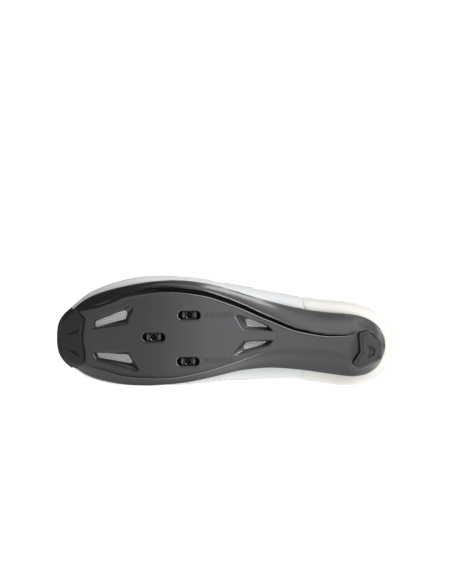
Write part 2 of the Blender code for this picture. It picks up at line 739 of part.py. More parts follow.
def girth_normal(station, place):
    """The outward direction of the upper at a station and a place round the foot."""
    low, high = max(station - EDGE_SAMPLE, 0.0), min(station + EDGE_SAMPLE, 1.0)
    along = girth_point(high, place) - girth_point(low, place)
    before, after = max(place - HEIGHT_SAMPLE, -2.0), min(place + HEIGHT_SAMPLE, 2.0)
    around = girth_point(station, after) - girth_point(station, before)
    return around.cross(along).normalized()


def offset_plate(name, finish, parent, stations, places, inner, outer):
    """A closed plate between two offsets of the upper's own surface."""
    rings = []
    for station, row in zip(stations, places):
        near, far = [], []
        for place in row:
            point = girth_point(station, place)
            normal = girth_normal(station, place)
            near.append(point + normal * inner)
            far.append(point + normal * outer)
        rings.append(near + far[::-1])
    return mesh_object(name, loft(rings), finish, parent)


def build_upper(parent):
    """The hollow lasted shell, open at the collar, the throat and underneath."""
    bm = bmesh.new()
    columns = []
    for j in range(2 * WALL_COLUMNS):
        place = abs(1.0 - j / WALL_COLUMNS)
        side = -1 if j <= WALL_COLUMNS else 1
        station = unspread(place)
        columns.append([bm.verts.new(wall_point(side, station, h)) for h in WALL_HEIGHTS])
    for j, column in enumerate(columns):
        other = columns[(j + 1) % len(columns)]
        for i in range(len(WALL_HEIGHTS) - 1):
            bm.faces.new((column[i], other[i], other[i + 1], column[i + 1]))
    obj = mesh_object("upper", bm, "upper", parent)
    wall = obj.modifiers.new("wall", "SOLIDIFY")
    wall.thickness = UPPER_WALL
    wall.offset = -1.0
    wall.use_rim = True
    return obj


def build_heel_counter(parent):
    """The overlay round the heel, from one side round the back to the other, on the upper's own grid."""
    rings = []
    front = spread(COUNTER_FRONT)
    places = [front] + [j / WALL_COLUMNS for j in range(WALL_COLUMNS + 1) if j / WALL_COLUMNS > front + EDGE_SAMPLE]
    heights = [h for h in WALL_HEIGHTS if COUNTER_LOW <= h <= COUNTER_HIGH]
    round_heel = [(-1, place) for place in places] + [(1, place) for place in places[-2::-1]]
    for side, place in round_heel:
        near, far = [], []
        for height in heights:
            point = wall_point(side, unspread(place), height)
            normal = wall_normal(side, place, height)
            near.append(point + normal * PIECE_GAP)
            far.append(point + normal * (PIECE_GAP + COUNTER_WALL))
        rings.append(near + far[::-1])
    return mesh_object("heel_counter", loft(rings), "counter", parent)


def wall_normal(side, place, height):
    """The outward direction of the upper's wall, also round the back of the heel."""

    def at(p, h):
        if p > 1.0:
            return wall_point(-side, unspread(2.0 - p), h)
        return wall_point(side, unspread(p), h)

    along = at(place + WALL_SAMPLE, height) - at(place - WALL_SAMPLE, height)
    up = at(place, min(height + HEIGHT_SAMPLE, 1.0)) - at(place, max(height - HEIGHT_SAMPLE, 0.0))
    return along.cross(up).normalized() * (1.0 if side > 0 else -1.0)


def build_tongue(parent):
    """The padded tongue under the throat."""
    length = TONGUE_TOP - TONGUE_FRONT
    stations = [TONGUE_FRONT + length * k / TONGUE_SECTIONS for k in range(TONGUE_SECTIONS + 1)]
    tuck = 1.0 + TONGUE_TUCK
    row = [tuck * (2.0 * i / TONGUE_COLUMNS - 1.0) for i in range(TONGUE_COLUMNS + 1)]
    places = [row] * len(stations)
    inner = -(UPPER_WALL + TONGUE_GAP + TONGUE_WALL)
    outer = -(UPPER_WALL + TONGUE_GAP)
    return offset_plate("tongue", "padding", parent, stations, places, inner, outer)


def build_straps(parent):
    """Two hook-and-loop straps over the throat."""
    made = []
    reach = STRAP_LATERAL_END - STRAP_MEDIAL_END
    row = [STRAP_MEDIAL_END + reach * i / STRAP_COLUMNS for i in range(STRAP_COLUMNS + 1)]
    for name, middle in STRAP_MIDDLES:
        half = STRAP_WIDTH / 2 / SOLE_LENGTH
        stations = [middle + half * t for t in STRAP_PLACES]
        places = [row] * len(stations)
        made.append(
            offset_plate(name, "upper", parent, stations, places, SOFT_GAP, SOFT_GAP + STRAP_WALL)
        )
    return made


def build_insole(parent):
    """The insole on the sole's bed, inside the upper's turned-in edge."""
    margin = LASTING_MARGIN + INSOLE_MARGIN
    rings = []
    for i in range(INSOLE_SECTIONS + 1):
        station = unspread(INSOLE_END + (1.0 - 2.0 * INSOLE_END) * i / INSOLE_SECTIONS)
        medial, _ = edge(-1, station, margin)
        lateral, _ = edge(1, station, margin)
        base = [medial.lerp(lateral, t) for t in BED_PLACES]
        low = [Vector((p.x, bed(p.x, p.y) + SOFT_GAP, p.y)) for p in base]
        high = [Vector((q.x, q.y + INSOLE_WALL, q.z)) for q in low]
        rings.append(low + high[::-1])
    return mesh_object("insole", loft(rings), "padding", parent)


# Resting pose

def world_mesh(obj, graph):
    """Points and triangles of an object as its modifiers leave it."""
    evaluated = obj.evaluated_get(graph)
    mesh = evaluated.to_mesh()
    mesh.calc_loop_triangles()
    points = [vertex.co.copy() for vertex in mesh.vertices]
    triangles = [tuple(triangle.vertices) for triangle in mesh.loop_triangles]
    evaluated.to_mesh_clear()
    return points, triangles


def density_of(name):
    """The density of the piece that a node name begins with."""
    return next(value for key, value in DENSITY.items() if name.startswith(key))


def stands_over(face, normal, centre):
    """Whether the line from the centre of mass along a face's normal meets the face."""
    corners = [vertex.co for vertex in face.verts]
    foot = centre + normal * normal.dot(corners[0] - centre)
    turns = [(b - a).cross(foot - a).dot(normal) for a, b in zip(corners, corners[1:] + corners[:1])]
    return min(turns) >= 0.0 or max(turns) <= 0.0


def lie_down(parent, pieces):
    """Turn the shoe onto the face of its hull, nearest to flat on the arch side, that its mass stands over."""
    bpy.context.view_layer.update()
    graph = bpy.context.evaluated_depsgraph_get()
    hull = bmesh.new()
    mass, moment = 0.0, Vector((0.0, 0.0, 0.0))
    for piece in pieces:
        points, triangles = world_mesh(piece, graph)
        density = density_of(piece.name)
        for a, b, c in triangles:
            part = density * points[a].dot(points[b].cross(points[c])) / 6.0
            mass += part
            moment += part * (points[a] + points[b] + points[c]) / 4.0
        for point in points:
            hull.verts.new(point)
    centre = moment / mass
    found = bmesh.ops.convex_hull(hull, input=hull.verts)
    down = Vector((0.0, 0.0, -1.0))
    faces = [item for item in found["geom"] if isinstance(item, bmesh.types.BMFace)]
    best = None
    for face in faces:
        normal = face.normal if face.normal.dot(face.verts[0].co - centre) > 0.0 else -face.normal
        if normal.dot(down) > 0.9 and stands_over(face, normal, centre):
            if best is None or normal.dot(down) > best.dot(down):
                best = normal.copy()
    turn = best.rotation_difference(down).to_matrix().to_4x4()
    turned = [turn @ vertex.co for vertex in hull.verts]
    hull.free()
    low = Vector(min(point[axis] for point in turned) for axis in range(3))
    high = Vector(max(point[axis] for point in turned) for axis in range(3))
    middle = Vector(((low.x + high.x) / 2.0, (low.y + high.y) / 2.0, low.z))
    parent.matrix_world = Matrix.Translation(-middle) @ turn
    bpy.context.view_layer.update()
    return mass, centre


def build_shoe():
    """Model every piece, then lay the shoe down."""
    clear_scene()
    parent = bpy.data.objects.new("shoe", None)
    bpy.context.scene.collection.objects.link(parent)
    pieces = [build_outsole(parent), build_bumper(parent), build_heel_pad(parent)]
    pieces += [build_nut(name, station, across, parent) for name, station, across in SLOTS[1:]]
    pieces += [build_screen(name, recess, throat, parent) for name, recess, throat in VENTS]
    pieces += [build_upper(parent), build_heel_counter(parent), build_tongue(parent), build_insole(parent)]
    pieces += build_straps(parent)
    mass, centre = lie_down(parent, pieces)
    tilt = parent.matrix_world.to_euler()
    print("mass %.3f kg, centre %s" % (mass, [round(v * 1000, 1) for v in centre]))
    print("turn %s degrees" % [round(math.degrees(v), 2) for v in tilt])


build_shoe()
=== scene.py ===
# A left road cycling shoe on its arch side: fine surfaces, finishes, light and camera. Metres, +Z up.
import functools
import math

import bmesh
import bpy
from mathutils import Matrix, Vector, kdtree
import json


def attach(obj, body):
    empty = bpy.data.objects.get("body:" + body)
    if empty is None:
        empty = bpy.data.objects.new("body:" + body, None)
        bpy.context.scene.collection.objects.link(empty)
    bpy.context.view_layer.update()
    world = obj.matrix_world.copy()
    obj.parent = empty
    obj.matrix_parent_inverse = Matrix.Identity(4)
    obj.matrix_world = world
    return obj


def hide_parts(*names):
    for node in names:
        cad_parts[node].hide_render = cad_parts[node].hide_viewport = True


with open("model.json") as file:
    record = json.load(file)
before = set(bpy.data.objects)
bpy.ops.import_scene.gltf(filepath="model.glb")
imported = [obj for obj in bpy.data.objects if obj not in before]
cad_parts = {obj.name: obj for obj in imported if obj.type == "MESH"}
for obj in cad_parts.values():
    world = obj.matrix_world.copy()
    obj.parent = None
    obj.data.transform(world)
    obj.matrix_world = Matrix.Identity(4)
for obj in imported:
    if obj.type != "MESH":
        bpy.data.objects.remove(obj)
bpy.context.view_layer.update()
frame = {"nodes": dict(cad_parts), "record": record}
print("frame loaded:", len(frame["nodes"]), "nodes")

# The shoe's own frame: x from toe to heel, y from the ground up to the collar, z to the outer (lateral) side.
shoe = {
    "length": 0.2675,
    "width": 0.0860,
    "toeSpring": 0.0170,
    "archLift": 0.0120,
    "flankRise": 0.0115,
    "flankCurve": 0.8,  # under 1 the flank rises sooner
    "leastFlank": 0.01,
    "rimWall": 0.0034,
    "bedDish": 0.0050,
    "toeRound": 0.045,
    "heelRound": 0.972,
    "centreShare": 0.94,
    "gap": 0.0003,
    "softGap": 0.0008,
}

# Outline of the sole: the middle of each section and half its width, as shares of the width.
outline = (
    ("station", "middle", "half"),
    (0.000, 0.013, 0.000),
    (0.005, 0.014, 0.128),
    (0.017, 0.014, 0.196),
    (0.048, 0.017, 0.290),
    (0.090, 0.024, 0.376),
    (0.139, 0.033, 0.428),
    (0.188, 0.040, 0.462),
    (0.237, 0.050, 0.484),
    (0.286, 0.060, 0.495),
    (0.335, 0.070, 0.496),
    (0.384, 0.076, 0.485),
    (0.433, 0.079, 0.462),
    (0.482, 0.078, 0.430),
    (0.531, 0.071, 0.391),
    (0.580, 0.056, 0.355),
    (0.629, 0.037, 0.326),
    (0.677, 0.015, 0.308),
    (0.726, -0.009, 0.297),
    (0.775, -0.033, 0.292),
    (0.824, -0.053, 0.294),
    (0.873, -0.069, 0.298),
    (0.898, -0.077, 0.297),
    (0.922, -0.082, 0.285),
    (0.947, -0.085, 0.260),
    (0.971, -0.083, 0.209),
    (0.995, -0.077, 0.090),
    (1.000, -0.076, 0.000),
)

# Edges of the raised centre of the sole, as shares of the width from the long axis.
centre = (
    ("station", "medial", "lateral"),
    (0.000, -0.160, 0.200),
    (0.115, -0.275, 0.303),
    (0.220, -0.357, 0.413),
    (0.325, -0.368, 0.456),
    (0.430, -0.319, 0.418),
    (0.525, -0.237, 0.325),
    (0.636, -0.135, 0.175),
    (0.737, -0.108, 0.057),
    (0.830, -0.117, 0.014),
    (0.880, -0.172, 0.019),
    (0.915, -0.236, 0.052),
    (0.960, -0.220, 0.050),
    (1.000, -0.180, 0.020),
)

# Side view of the sole, and its relief: how far the flanks rise, how deep the bed is, then the depth and
# width of the lateral groove and the height of the medial step, as shares of their named sizes.
profile = (
    ("station", "spring", "arch", "flankMedial", "flankLateral", "dish", "groove", "grooveWidth", "step"),
    (0.000, 1.000, 0.000, 0.300, 0.300, 0.20, 0.00, 0.60, 0.00),
    (0.060, 0.640, 0.000, 0.300, 0.300, 0.22, 0.00, 0.60, 0.00),
    (0.130, 0.310, 0.000, 0.300, 0.300, 0.24, 0.10, 0.70, 0.50),
    (0.200, 0.100, 0.000, 0.300, 0.300, 0.24, 0.22, 0.80, 0.85),
    (0.270, 0.000, 0.000, 0.300, 0.300, 0.24, 0.50, 0.90, 1.00),
    (0.320, 0.000, 0.000, 0.310, 0.310, 0.25, 0.95, 0.95, 1.00),
    (0.420, 0.000, 0.000, 0.380, 0.380, 0.30, 1.00, 1.00, 1.00),
    (0.500, 0.000, 0.280, 0.640, 0.600, 0.50, 1.00, 1.00, 0.80),
    (0.580, 0.000, 0.720, 0.900, 0.820, 0.74, 1.00, 0.95, 0.50),
    (0.680, 0.000, 1.000, 1.000, 0.950, 0.90, 0.95, 0.75, 0.20),
    (0.780, 0.000, 0.960, 0.980, 0.960, 1.00, 0.75, 0.52, 0.20),
    (0.880, 0.000, 0.720, 0.960, 0.960, 1.00, 0.15, 0.30, 0.10),
    (0.940, 0.000, 0.660, 0.960, 0.960, 0.94, 0.00, 0.30, 0.00),
    (1.000, 0.000, 0.720, 0.940, 0.940, 0.80, 0.00, 0.30, 0.00),
)

# Upper: for each station of the sole's edge, the station of the top edge, half the opening, the edge's
# height, how flat the wall arrives there, how high the widest line lies and how far it stands out on each
# side.
upperTable = (
    ("station", "top", "opening", "height", "level", "belly", "medial", "lateral"),
    (0.000, 0.105, 0.000, 0.475, 1.00, 0.52, 0.18, 0.20),
    (0.060, 0.125, 0.000, 0.490, 1.00, 0.54, 0.26, 0.28),
    (0.140, 0.175, 0.000, 0.530, 1.00, 0.56, 0.26, 0.45),
    (0.220, 0.230, 0.000, 0.575, 1.00, 0.60, 0.14, 0.54),
    (0.300, 0.300, 0.000, 0.630, 1.00, 0.64, 0.12, 0.43),
    (0.328, 0.328, 0.000, 0.655, 0.96, 0.66, 0.18, 0.36),
    (0.345, 0.345, 0.170, 0.668, 0.92, 0.68, 0.24, 0.33),
    (0.400, 0.400, 0.330, 0.735, 0.84, 0.72, 0.38, 0.24),
    (0.480, 0.480, 0.420, 0.845, 0.74, 0.78, 0.66, 0.28),
    (0.560, 0.560, 0.500, 0.945, 0.62, 0.82, 1.08, 0.50),
    (0.605, 0.600, 0.580, 0.965, 0.50, 0.82, 1.17, 0.70),
    (0.640, 0.635, 0.800, 0.880, 0.34, 0.82, 1.18, 0.82),
    (0.700, 0.695, 0.960, 0.720, 0.20, 0.84, 1.06, 0.95),
    (0.780, 0.775, 1.000, 0.640, 0.12, 0.76, 0.95, 0.90),
    (0.860, 0.850, 0.900, 0.655, 0.12, 0.74, 0.92, 0.90),
    (0.930, 0.915, 0.700, 0.695, 0.12, 0.74, 0.74, 0.80),
    (0.980, 0.960, 0.420, 0.740, 0.12, 0.76, 0.76, 0.80),
    (1.000, 0.980, 0.000, 0.770, 0.12, 0.76, 0.82, 0.82),
)

tables = {"outline": outline, "centre": centre, "profile": profile, "upper": upperTable}

upper = {
    "instep": 0.0950,
    "collarHalf": 0.0300,
    "bulge": 0.0090,
    "bulgeHeight": 0.0200,
    "lastingMargin": 0.0050,
    "throatArch": 0.34,
    "wall": 0.0024,
    "shell": 0.0013,
    "liningGap": 0.00005,
    "liningSlack": 0.0002,
    "columns": 130,
    "rows": 44,
    "split": 0.30,  # share of the height below the widest line, then the pulls of the curves on either side
    "lowOut": 0.4,
    "lowUp": 0.35,
    "leaveUp": 0.62,
    "arriveOut": (0.10, 0.50),
    "arriveDown": 0.36,
}


# Tables and curves

def spread(station):
    # a place from 0 to 1 whose even steps lie closer together at the toe and heel; unspread turns it back
    return math.acos(1.0 - 2.0 * min(max(station, 0.0), 1.0)) / math.pi


def unspread(place):
    return (1.0 - math.cos(math.pi * place)) / 2.0


@functools.lru_cache(maxsize=None)
def read(name, column, station):
    # a table's column at a station, on a smooth curve that never overshoots its rows
    table = tables[name]
    column = table[0].index(column)
    rows = table[1:]
    knots = [spread(row[0]) for row in rows]
    values = [row[column] for row in rows]
    place = min(max(spread(station), knots[0]), knots[-1])
    last = len(rows) - 2
    i = next((k for k in range(last) if place < knots[k + 1]), last)

    def slope(k):
        if k == 0 or k == len(rows) - 1:
            j = min(k, len(rows) - 2)
            return (values[j + 1] - values[j]) / (knots[j + 1] - knots[j])
        before = (values[k] - values[k - 1]) / (knots[k] - knots[k - 1])
        after = (values[k + 1] - values[k]) / (knots[k + 1] - knots[k])
        if before * after <= 0.0:
            return 0.0
        return 2.0 * before * after / (before + after)

    span = knots[i + 1] - knots[i]
    t = (place - knots[i]) / span
    return (
        values[i] * (1 + 2 * t) * (1 - t) ** 2
        + slope(i) * span * t * (1 - t) ** 2
        + values[i + 1] * t * t * (3 - 2 * t)
        - slope(i + 1) * span * t * t * (1 - t)
    )


def bezier(a, b, c, d, t):
    return a * (1 - t) ** 3 + b * 3 * t * (1 - t) ** 2 + c * 3 * t * t * (1 - t) + d * t ** 3


def ease(t):
    t = min(max(t, 0.0), 1.0)
    return t * t * (3.0 - 2.0 * t)


def metres(station, across):
    return station * shoe["length"], across * shoe["width"]


def raised(ring, rise, ground=None):
    # points (x, z) of a plan as points in space, at a height over the ground there
    return [Vector((p.x, (ground(p.x, p.y) if ground else 0.0) + rise, p.y)) for p in ring]


# The sole's own functions

@functools.lru_cache(maxsize=None)
def edgeOf(side, station, inset=0.0):
    # (x, z) on the sole's outline, moved inwards, and the outward direction; side is -1 medial, 1 lateral
    step = 0.004
    place = spread(station)

    def at(p):
        sideNow = side
        if p < 0.0 or p > 1.0:
            p = -p if p < 0.0 else 2.0 - p
            sideNow = -side
        s = unspread(p)
        across = read("outline", "middle", s) + sideNow * read("outline", "half", s)
        return Vector(metres(s, across))

    along = at(place + step) - at(place - step)
    outward = Vector((-along.y, along.x)).normalized() * side
    return at(place) - outward * inset, outward


@functools.lru_cache(maxsize=None)
def centreEdges(station):
    middle = read("outline", "middle", station)
    half = shoe["centreShare"] * read("outline", "half", station)
    medial, lateral = [read("centre", column, station) for column in ("medial", "lateral")]
    return max(medial, middle - half), min(lateral, middle + half)


def stationAt(x):
    return min(max(x / shoe["length"], 0.0), 1.0)


def levelAt(station):
    spring = shoe["toeSpring"] * read("profile", "spring", station)
    return spring + shoe["archLift"] * read("profile", "arch", station)


def flankAt(station, side):
    return shoe["flankRise"] * read("profile", "flankMedial" if side < 0 else "flankLateral", station)


def flankShare(station, across):
    # 0 on the raised centre, 1 on the outline
    low, high = centreEdges(station)
    middle = (low + high) / 2.0
    side = -1 if across < middle else 1
    ridge = low if side < 0 else high
    rim = read("outline", "middle", station) + side * read("outline", "half", station)
    reach = max(abs(rim - ridge), shoe["leastFlank"])
    out = min(max((abs(across - middle) - abs(ridge - middle)) / reach, 0.0), 1.0)
    heel = (station - shoe["heelRound"]) / (1.0 - shoe["heelRound"])
    toe = (shoe["toeRound"] - station) / shoe["toeRound"]
    return side, min(math.hypot(out, max(heel, toe, 0.0)), 1.0)


def underside(x, z):
    # height of the sole's underside, before its grooves and steps
    station = stationAt(x)
    side, share = flankShare(station, z / shoe["width"])
    return levelAt(station) + flankAt(station, side) * ease(share) ** shoe["flankCurve"]


def rimTop(x, side):
    station = stationAt(x)
    return levelAt(station) + flankAt(station, side) + shoe["rimWall"]


def bed(x, z):
    # height of the sole's upper face
    station = stationAt(x)
    half = max(read("outline", "half", station) * shoe["width"], 1e-6)
    share = min(max((z - read("outline", "middle", station) * shoe["width"]) / half, -1.0), 1.0)
    medial, lateral = rimTop(x, -1), rimTop(x, 1)
    level = medial + (lateral - medial) * (share + 1.0) / 2.0
    return level - shoe["bedDish"] * read("profile", "dish", station) * (1.0 - share * share)


# The upper's own functions

def wallPoint(side, station, height):
    # a point on the upper's outer face: height 0 at the sole, 1 at the top edge
    feather, outward = edgeOf(side, station, upper["lastingMargin"])
    rim, _ = edgeOf(side, station)
    out = upper["bulge"] * read("upper", "medial" if side < 0 else "lateral", station)
    widest = rim + outward * out
    floor = rimTop(rim.x, side) + shoe["gap"]
    belly = Vector((widest.x, floor + upper["bulgeHeight"] * read("upper", "belly", station), widest.y))
    if height < upper["split"]:
        start = Vector((feather.x, max(rimTop(feather.x, side) + shoe["gap"], floor), feather.y))
        low = Vector((rim.x, floor, rim.y)) + Vector((outward.x, 0.0, outward.y)) * out * upper["lowOut"]
        under = Vector((belly.x, floor + (belly.y - floor) * upper["lowUp"], belly.z))
        return bezier(start, low, under, belly, height / upper["split"])
    top = topEdge(side, station)
    level = read("upper", "level", station)
    rise = top.y - belly.y
    plan = Vector((belly.x - top.x, 0.0, belly.z - top.z))
    leave = belly + Vector((0.0, upper["leaveUp"] * rise, 0.0))
    near, far = upper["arriveOut"]
    drop = Vector((0.0, rise * upper["arriveDown"] * (1.0 - level), 0.0))
    arrive = top + plan * (near + far * level) - drop
    return bezier(belly, leave, arrive, top, (height - upper["split"]) / (1.0 - upper["split"]))


@functools.lru_cache(maxsize=None)
def topEdge(side, station):
    top = read("upper", "top", station)
    across = read("outline", "middle", top) * shoe["width"]
    across += side * upper["collarHalf"] * read("upper", "opening", station)
    return Vector((top * shoe["length"], upper["instep"] * read("upper", "height", station), across))


def wallNormal(side, place, height):
    step, lift = 0.01, 0.03

    def at(p, h):
        if p > 1.0:
            return wallPoint(-side, unspread(2.0 - p), h)
        if p < 0.0:
            return wallPoint(-side, unspread(-p), h)
        return wallPoint(side, unspread(p), h)

    along = at(place + step, height) - at(place - step, height)
    up = at(place, min(height + lift, 1.0)) - at(place, max(height - lift, 0.0))
    return along.cross(up).normalized() * (1.0 if side > 0 else -1.0)


def girthPoint(station, place):
    # round the foot: place 0 over the throat's middle, 1 its lateral edge, 2 the sole, and minus those on the
    # medial side
    side = -1 if place < 0 else 1
    reach = abs(place)
    if reach > 1.0:
        return wallPoint(side, station, 2.0 - reach)
    here, other = topEdge(side, station), topEdge(-side, station)
    middle = (here + other) / 2.0
    point = middle.lerp(here, reach)
    point.y += upper["throatArch"] * (here - middle).length * (1.0 - reach * reach)
    return point


def girthNormal(station, place):
    step, turn = 0.004, 0.03
    low, high = max(station - step, 0.0), min(station + step, 1.0)
    along = girthPoint(high, place) - girthPoint(low, place)
    around = girthPoint(station, min(place + turn, 2.0)) - girthPoint(station, max(place - turn, -2.0))
    return around.cross(along).normalized()


# Resting pose, from the two mounts under the sole: where they lie on the shoe, as (station, across) shares
restPoints = {"cleat_seat": (0.343, 0.020), "heel_ground": (0.930, -0.050)}


def restingPose():
    mounts = {mount["name"]: mount for mount in frame["record"]["mounts"]}
    ball, heel = [Vector(mounts[name]["pos_m"]) for name in restPoints]
    ballHere, heelHere = raised([Vector(metres(*shares)) for shares in restPoints.values()], 0.0)

    def basis(along, up):
        along = along.normalized()
        across = along.cross(up).normalized()
        return Matrix((along, up, across)).transposed()

    there = basis(heel - ball, -Vector(mounts["cleat_seat"]["axis"]).normalized())
    here = basis(heelHere - ballHere, Vector((0.0, 1.0, 0.0)))
    turn = (there @ here.inverted()).to_4x4()
    return Matrix.Translation(ball - turn @ ballHere) @ turn


pose = restingPose()


# Making pieces
def gridThrough(columns, rows, at):
    # a grid of faces whose corner (i, j) is moved to at(i, j)
    bm = bmesh.new()
    bmesh.ops.create_grid(bm, x_segments=columns, y_segments=rows, size=0.5)
    for vert in bm.verts:
        vert.co = at(round((vert.co.x + 0.5) * columns), round((vert.co.y + 0.5) * rows))
    return bm


def skinOver(rings):
    # a closed skin through rings with the same count of points
    count = len(rings[0])
    bm = gridThrough(len(rings) - 1, count, lambda i, j: rings[i][j % count])
    bmesh.ops.remove_doubles(bm, verts=bm.verts, dist=1e-6)
    bmesh.ops.holes_fill(bm, edges=[e for e in bm.edges if e.is_boundary], sides=0)
    return bm


def joinInto(bm, part):
    mesh = bpy.data.meshes.new("part")
    part.to_mesh(mesh)
    part.free()
    bm.from_mesh(mesh)
    bpy.data.meshes.remove(mesh)


def closedPlate(columns, rows, at):
    # two sheets, through at(i, j, True) and at(i, j, False), bridged round their edge
    bm = bmesh.new()
    for lift in (True, False):
        joinInto(bm, gridThrough(columns, rows, lambda i, j: at(i, j, lift)))
    bmesh.ops.bridge_loops(bm, edges=[e for e in bm.edges if e.is_boundary])
    return bm


def faceOut(bm):
    bmesh.ops.remove_doubles(bm, verts=bm.verts, dist=1e-6)
    bmesh.ops.recalc_face_normals(bm, faces=bm.faces)
    if bm.calc_volume(signed=True) < 0.0:
        bmesh.ops.reverse_faces(bm, faces=bm.faces)
    return bm


def linkMesh(name, bm):
    mesh = bpy.data.meshes.new(name)
    bm.to_mesh(mesh)
    bm.free()
    obj = bpy.data.objects.new(name, mesh)
    bpy.context.scene.collection.objects.link(obj)
    return obj


def meshObject(name, bm):
    # an object of the mesh, laid down as the shoe lies
    bm.transform(pose)
    return linkMesh(name, bm)


def applyModifiers(obj):
    graph = bpy.context.evaluated_depsgraph_get()
    made = bpy.data.meshes.new_from_object(obj.evaluated_get(graph))
    obj.modifiers.clear()
    obj.data = made



def finishPiece(obj, finish, nodes=(), sharp=35):
    obj.data.materials.clear()
    obj.data.materials.append(finishes[finish])
    obj.data.shade_smooth()
    obj.data.set_sharp_from_angle(angle=math.radians(sharp))
    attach(obj, "root")
    if nodes:
        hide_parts(*nodes)
    return obj


def addPiece(name, bm, finish, nodes=(), sharp=35):
    return finishPiece(meshObject(name, faceOut(bm)), finish, nodes, sharp)


def cutFrom(obj, cutters):
    # take the closed cutter solids out of the piece, in one cut
    bm = bmesh.new()
    for cutter in cutters:
        joinInto(bm, cutter)
    cutterObj = meshObject("cutter", bm)
    cut = obj.modifiers.new("cut", "BOOLEAN")
    cut.operation = "DIFFERENCE"
    cut.solver = "EXACT"
    cut.use_self = True
    cut.object = cutterObj
    applyModifiers(obj)
    bpy.data.objects.remove(cutterObj, do_unlink=True)


# Finishes

def hexColour(code):
    channels = [int(code[i:i + 2], 16) / 255.0 for i in (1, 3, 5)]
    linear = [c / 12.92 if c <= 0.04045 else ((c + 0.055) / 1.055) ** 2.4 for c in channels]
    return (*linear, 1.0)


def addNode(tree, kind, settings=None, links=None):
    # settings are sockets or properties of the node; links are {its socket: (other node, that one's output)}
    node = tree.nodes.new(kind)
    for key, value in (settings or {}).items():
        if isinstance(key, int) or key in node.inputs:
            node.inputs[key].default_value = value
        else:
            setattr(node, key, value)
    for key, (other, output) in (links or {}).items():
        tree.links.new(other.outputs[output], node.inputs[key])
    return node


def newSurface(name, settings):
    made = bpy.data.materials.new(name)
    made.use_nodes = True
    tree = made.node_tree
    shader = tree.nodes["Principled BSDF"]
    for key, value in settings.items():
        shader.inputs[key].default_value = value
    spot = addNode(tree, "ShaderNodeTexCoord")
    return made, tree, shader, spot


def shadeHollows(tree, shader, tint, reach, darkest):
    # painted shade: ambient occlusion darkens the colour in hollows and corners, where shade falls
    hollow = addNode(tree, "ShaderNodeAmbientOcclusion", {"samples": 8, "Distance": reach})
    depth = addNode(tree, "ShaderNodeMapRange", {1: 0.50, 2: 0.82, 3: darkest, 4: 1.0}, {0: (hollow, 1)})
    shaded = addNode(tree, "ShaderNodeMix", {"data_type": "RGBA", "blend_type": "MULTIPLY", 0: 1.0},
                     {6: (tint, 2), 7: (depth, 0)})
    tree.links.new(shaded.outputs[2], shader.inputs["Base Color"])


def mouldedNylon(name, low, high, darkest=0.16):
    # glass-filled nylon, glossier at the toe; painted light makes it near black there and greyer to the heel
    made, tree, shader, spot = newSurface(name, {"IOR": 1.58, "Coat Weight": 0.55, "Coat Roughness": 0.22})
    clouds = addNode(tree, "ShaderNodeTexNoise", {"Scale": 1 / 0.030, "Detail": 3.0, "Roughness": 0.55},
                     {"Vector": (spot, "Object")})
    axes = addNode(tree, "ShaderNodeSeparateXYZ", {}, {0: (spot, "Object")})
    # painted light: a lighter colour from the toe towards the heel, where the heel-side lamp falls; random
    # clouds on top
    along = addNode(tree, "ShaderNodeMapRange", {1: -0.062, 2: -0.020}, {0: (axes, 0)})
    cloudy = addNode(tree, "ShaderNodeMapRange", {3: -0.10, 4: 0.10}, {0: (clouds, 0)})
    paintedLightAndClouds = addNode(tree, "ShaderNodeMath", {"operation": "ADD", "use_clamp": True},
                   {0: (along, 0), 1: (cloudy, 0)})
    tint = addNode(tree, "ShaderNodeMix", {"data_type": "RGBA", 6: hexColour(low), 7: hexColour(high)},
                   {0: (paintedLightAndClouds, 0)})
    # painted shade: faces that turn downwards, such as the arch-side flank, get a darker colour
    facing = addNode(tree, "ShaderNodeNewGeometry")
    slopes = addNode(tree, "ShaderNodeSeparateXYZ", {}, {0: (facing, "True Normal")})
    arch = addNode(tree, "ShaderNodeMapRange", {1: -0.40, 2: -0.10, 3: 0.35, 4: 1.0}, {0: (slopes, 2)})
    tint = addNode(tree, "ShaderNodeMix", {"data_type": "RGBA", "blend_type": "MULTIPLY", 0: 1.0},
                   {6: (tint, 2), 7: (arch, 0)})
    # painted shade in the hollows and corners
    shadeHollows(tree, shader, tint, 0.0060, darkest)
    grain = addNode(tree, "ShaderNodeTexNoise", {"Scale": 1 / 0.0009, "Detail": 2.0},
                    {"Vector": (spot, "Object")})
    gloss = addNode(tree, "ShaderNodeMapRange", {3: 0.40, 4: 0.50}, {0: (paintedLightAndClouds, 0)})
    tree.links.new(gloss.outputs[0], shader.inputs["Roughness"])
    bump = addNode(tree, "ShaderNodeBump", {"Strength": 0.12, "Distance": 0.0001}, {"Height": (grain, 0)})
    tree.links.new(bump.outputs[0], shader.inputs["Normal"])
    return made


def mouldedRubber(name, low, high, roughness):
    # carbon black rubber from a spark-eroded mould: matt, with a fine even grain
    made, tree, shader, spot = newSurface(name, {"Roughness": roughness, "IOR": 1.52})
    grain = addNode(tree, "ShaderNodeTexNoise", {"Scale": 1 / 0.0006, "Detail": 2.0},
                    {"Vector": (spot, "Object")})
    tint = addNode(tree, "ShaderNodeMix", {"data_type": "RGBA", 6: hexColour(low), 7: hexColour(high)},
                   {0: (grain, 0)})
    # painted shade in the hollows, such as the heel pad's recess
    shadeHollows(tree, shader, tint, 0.0040, 0.25)
    bump = addNode(tree, "ShaderNodeBump", {"Strength": 0.30, "Distance": 0.0001}, {"Height": (grain, 0)})
    tree.links.new(bump.outputs[0], shader.inputs["Normal"])
    return made


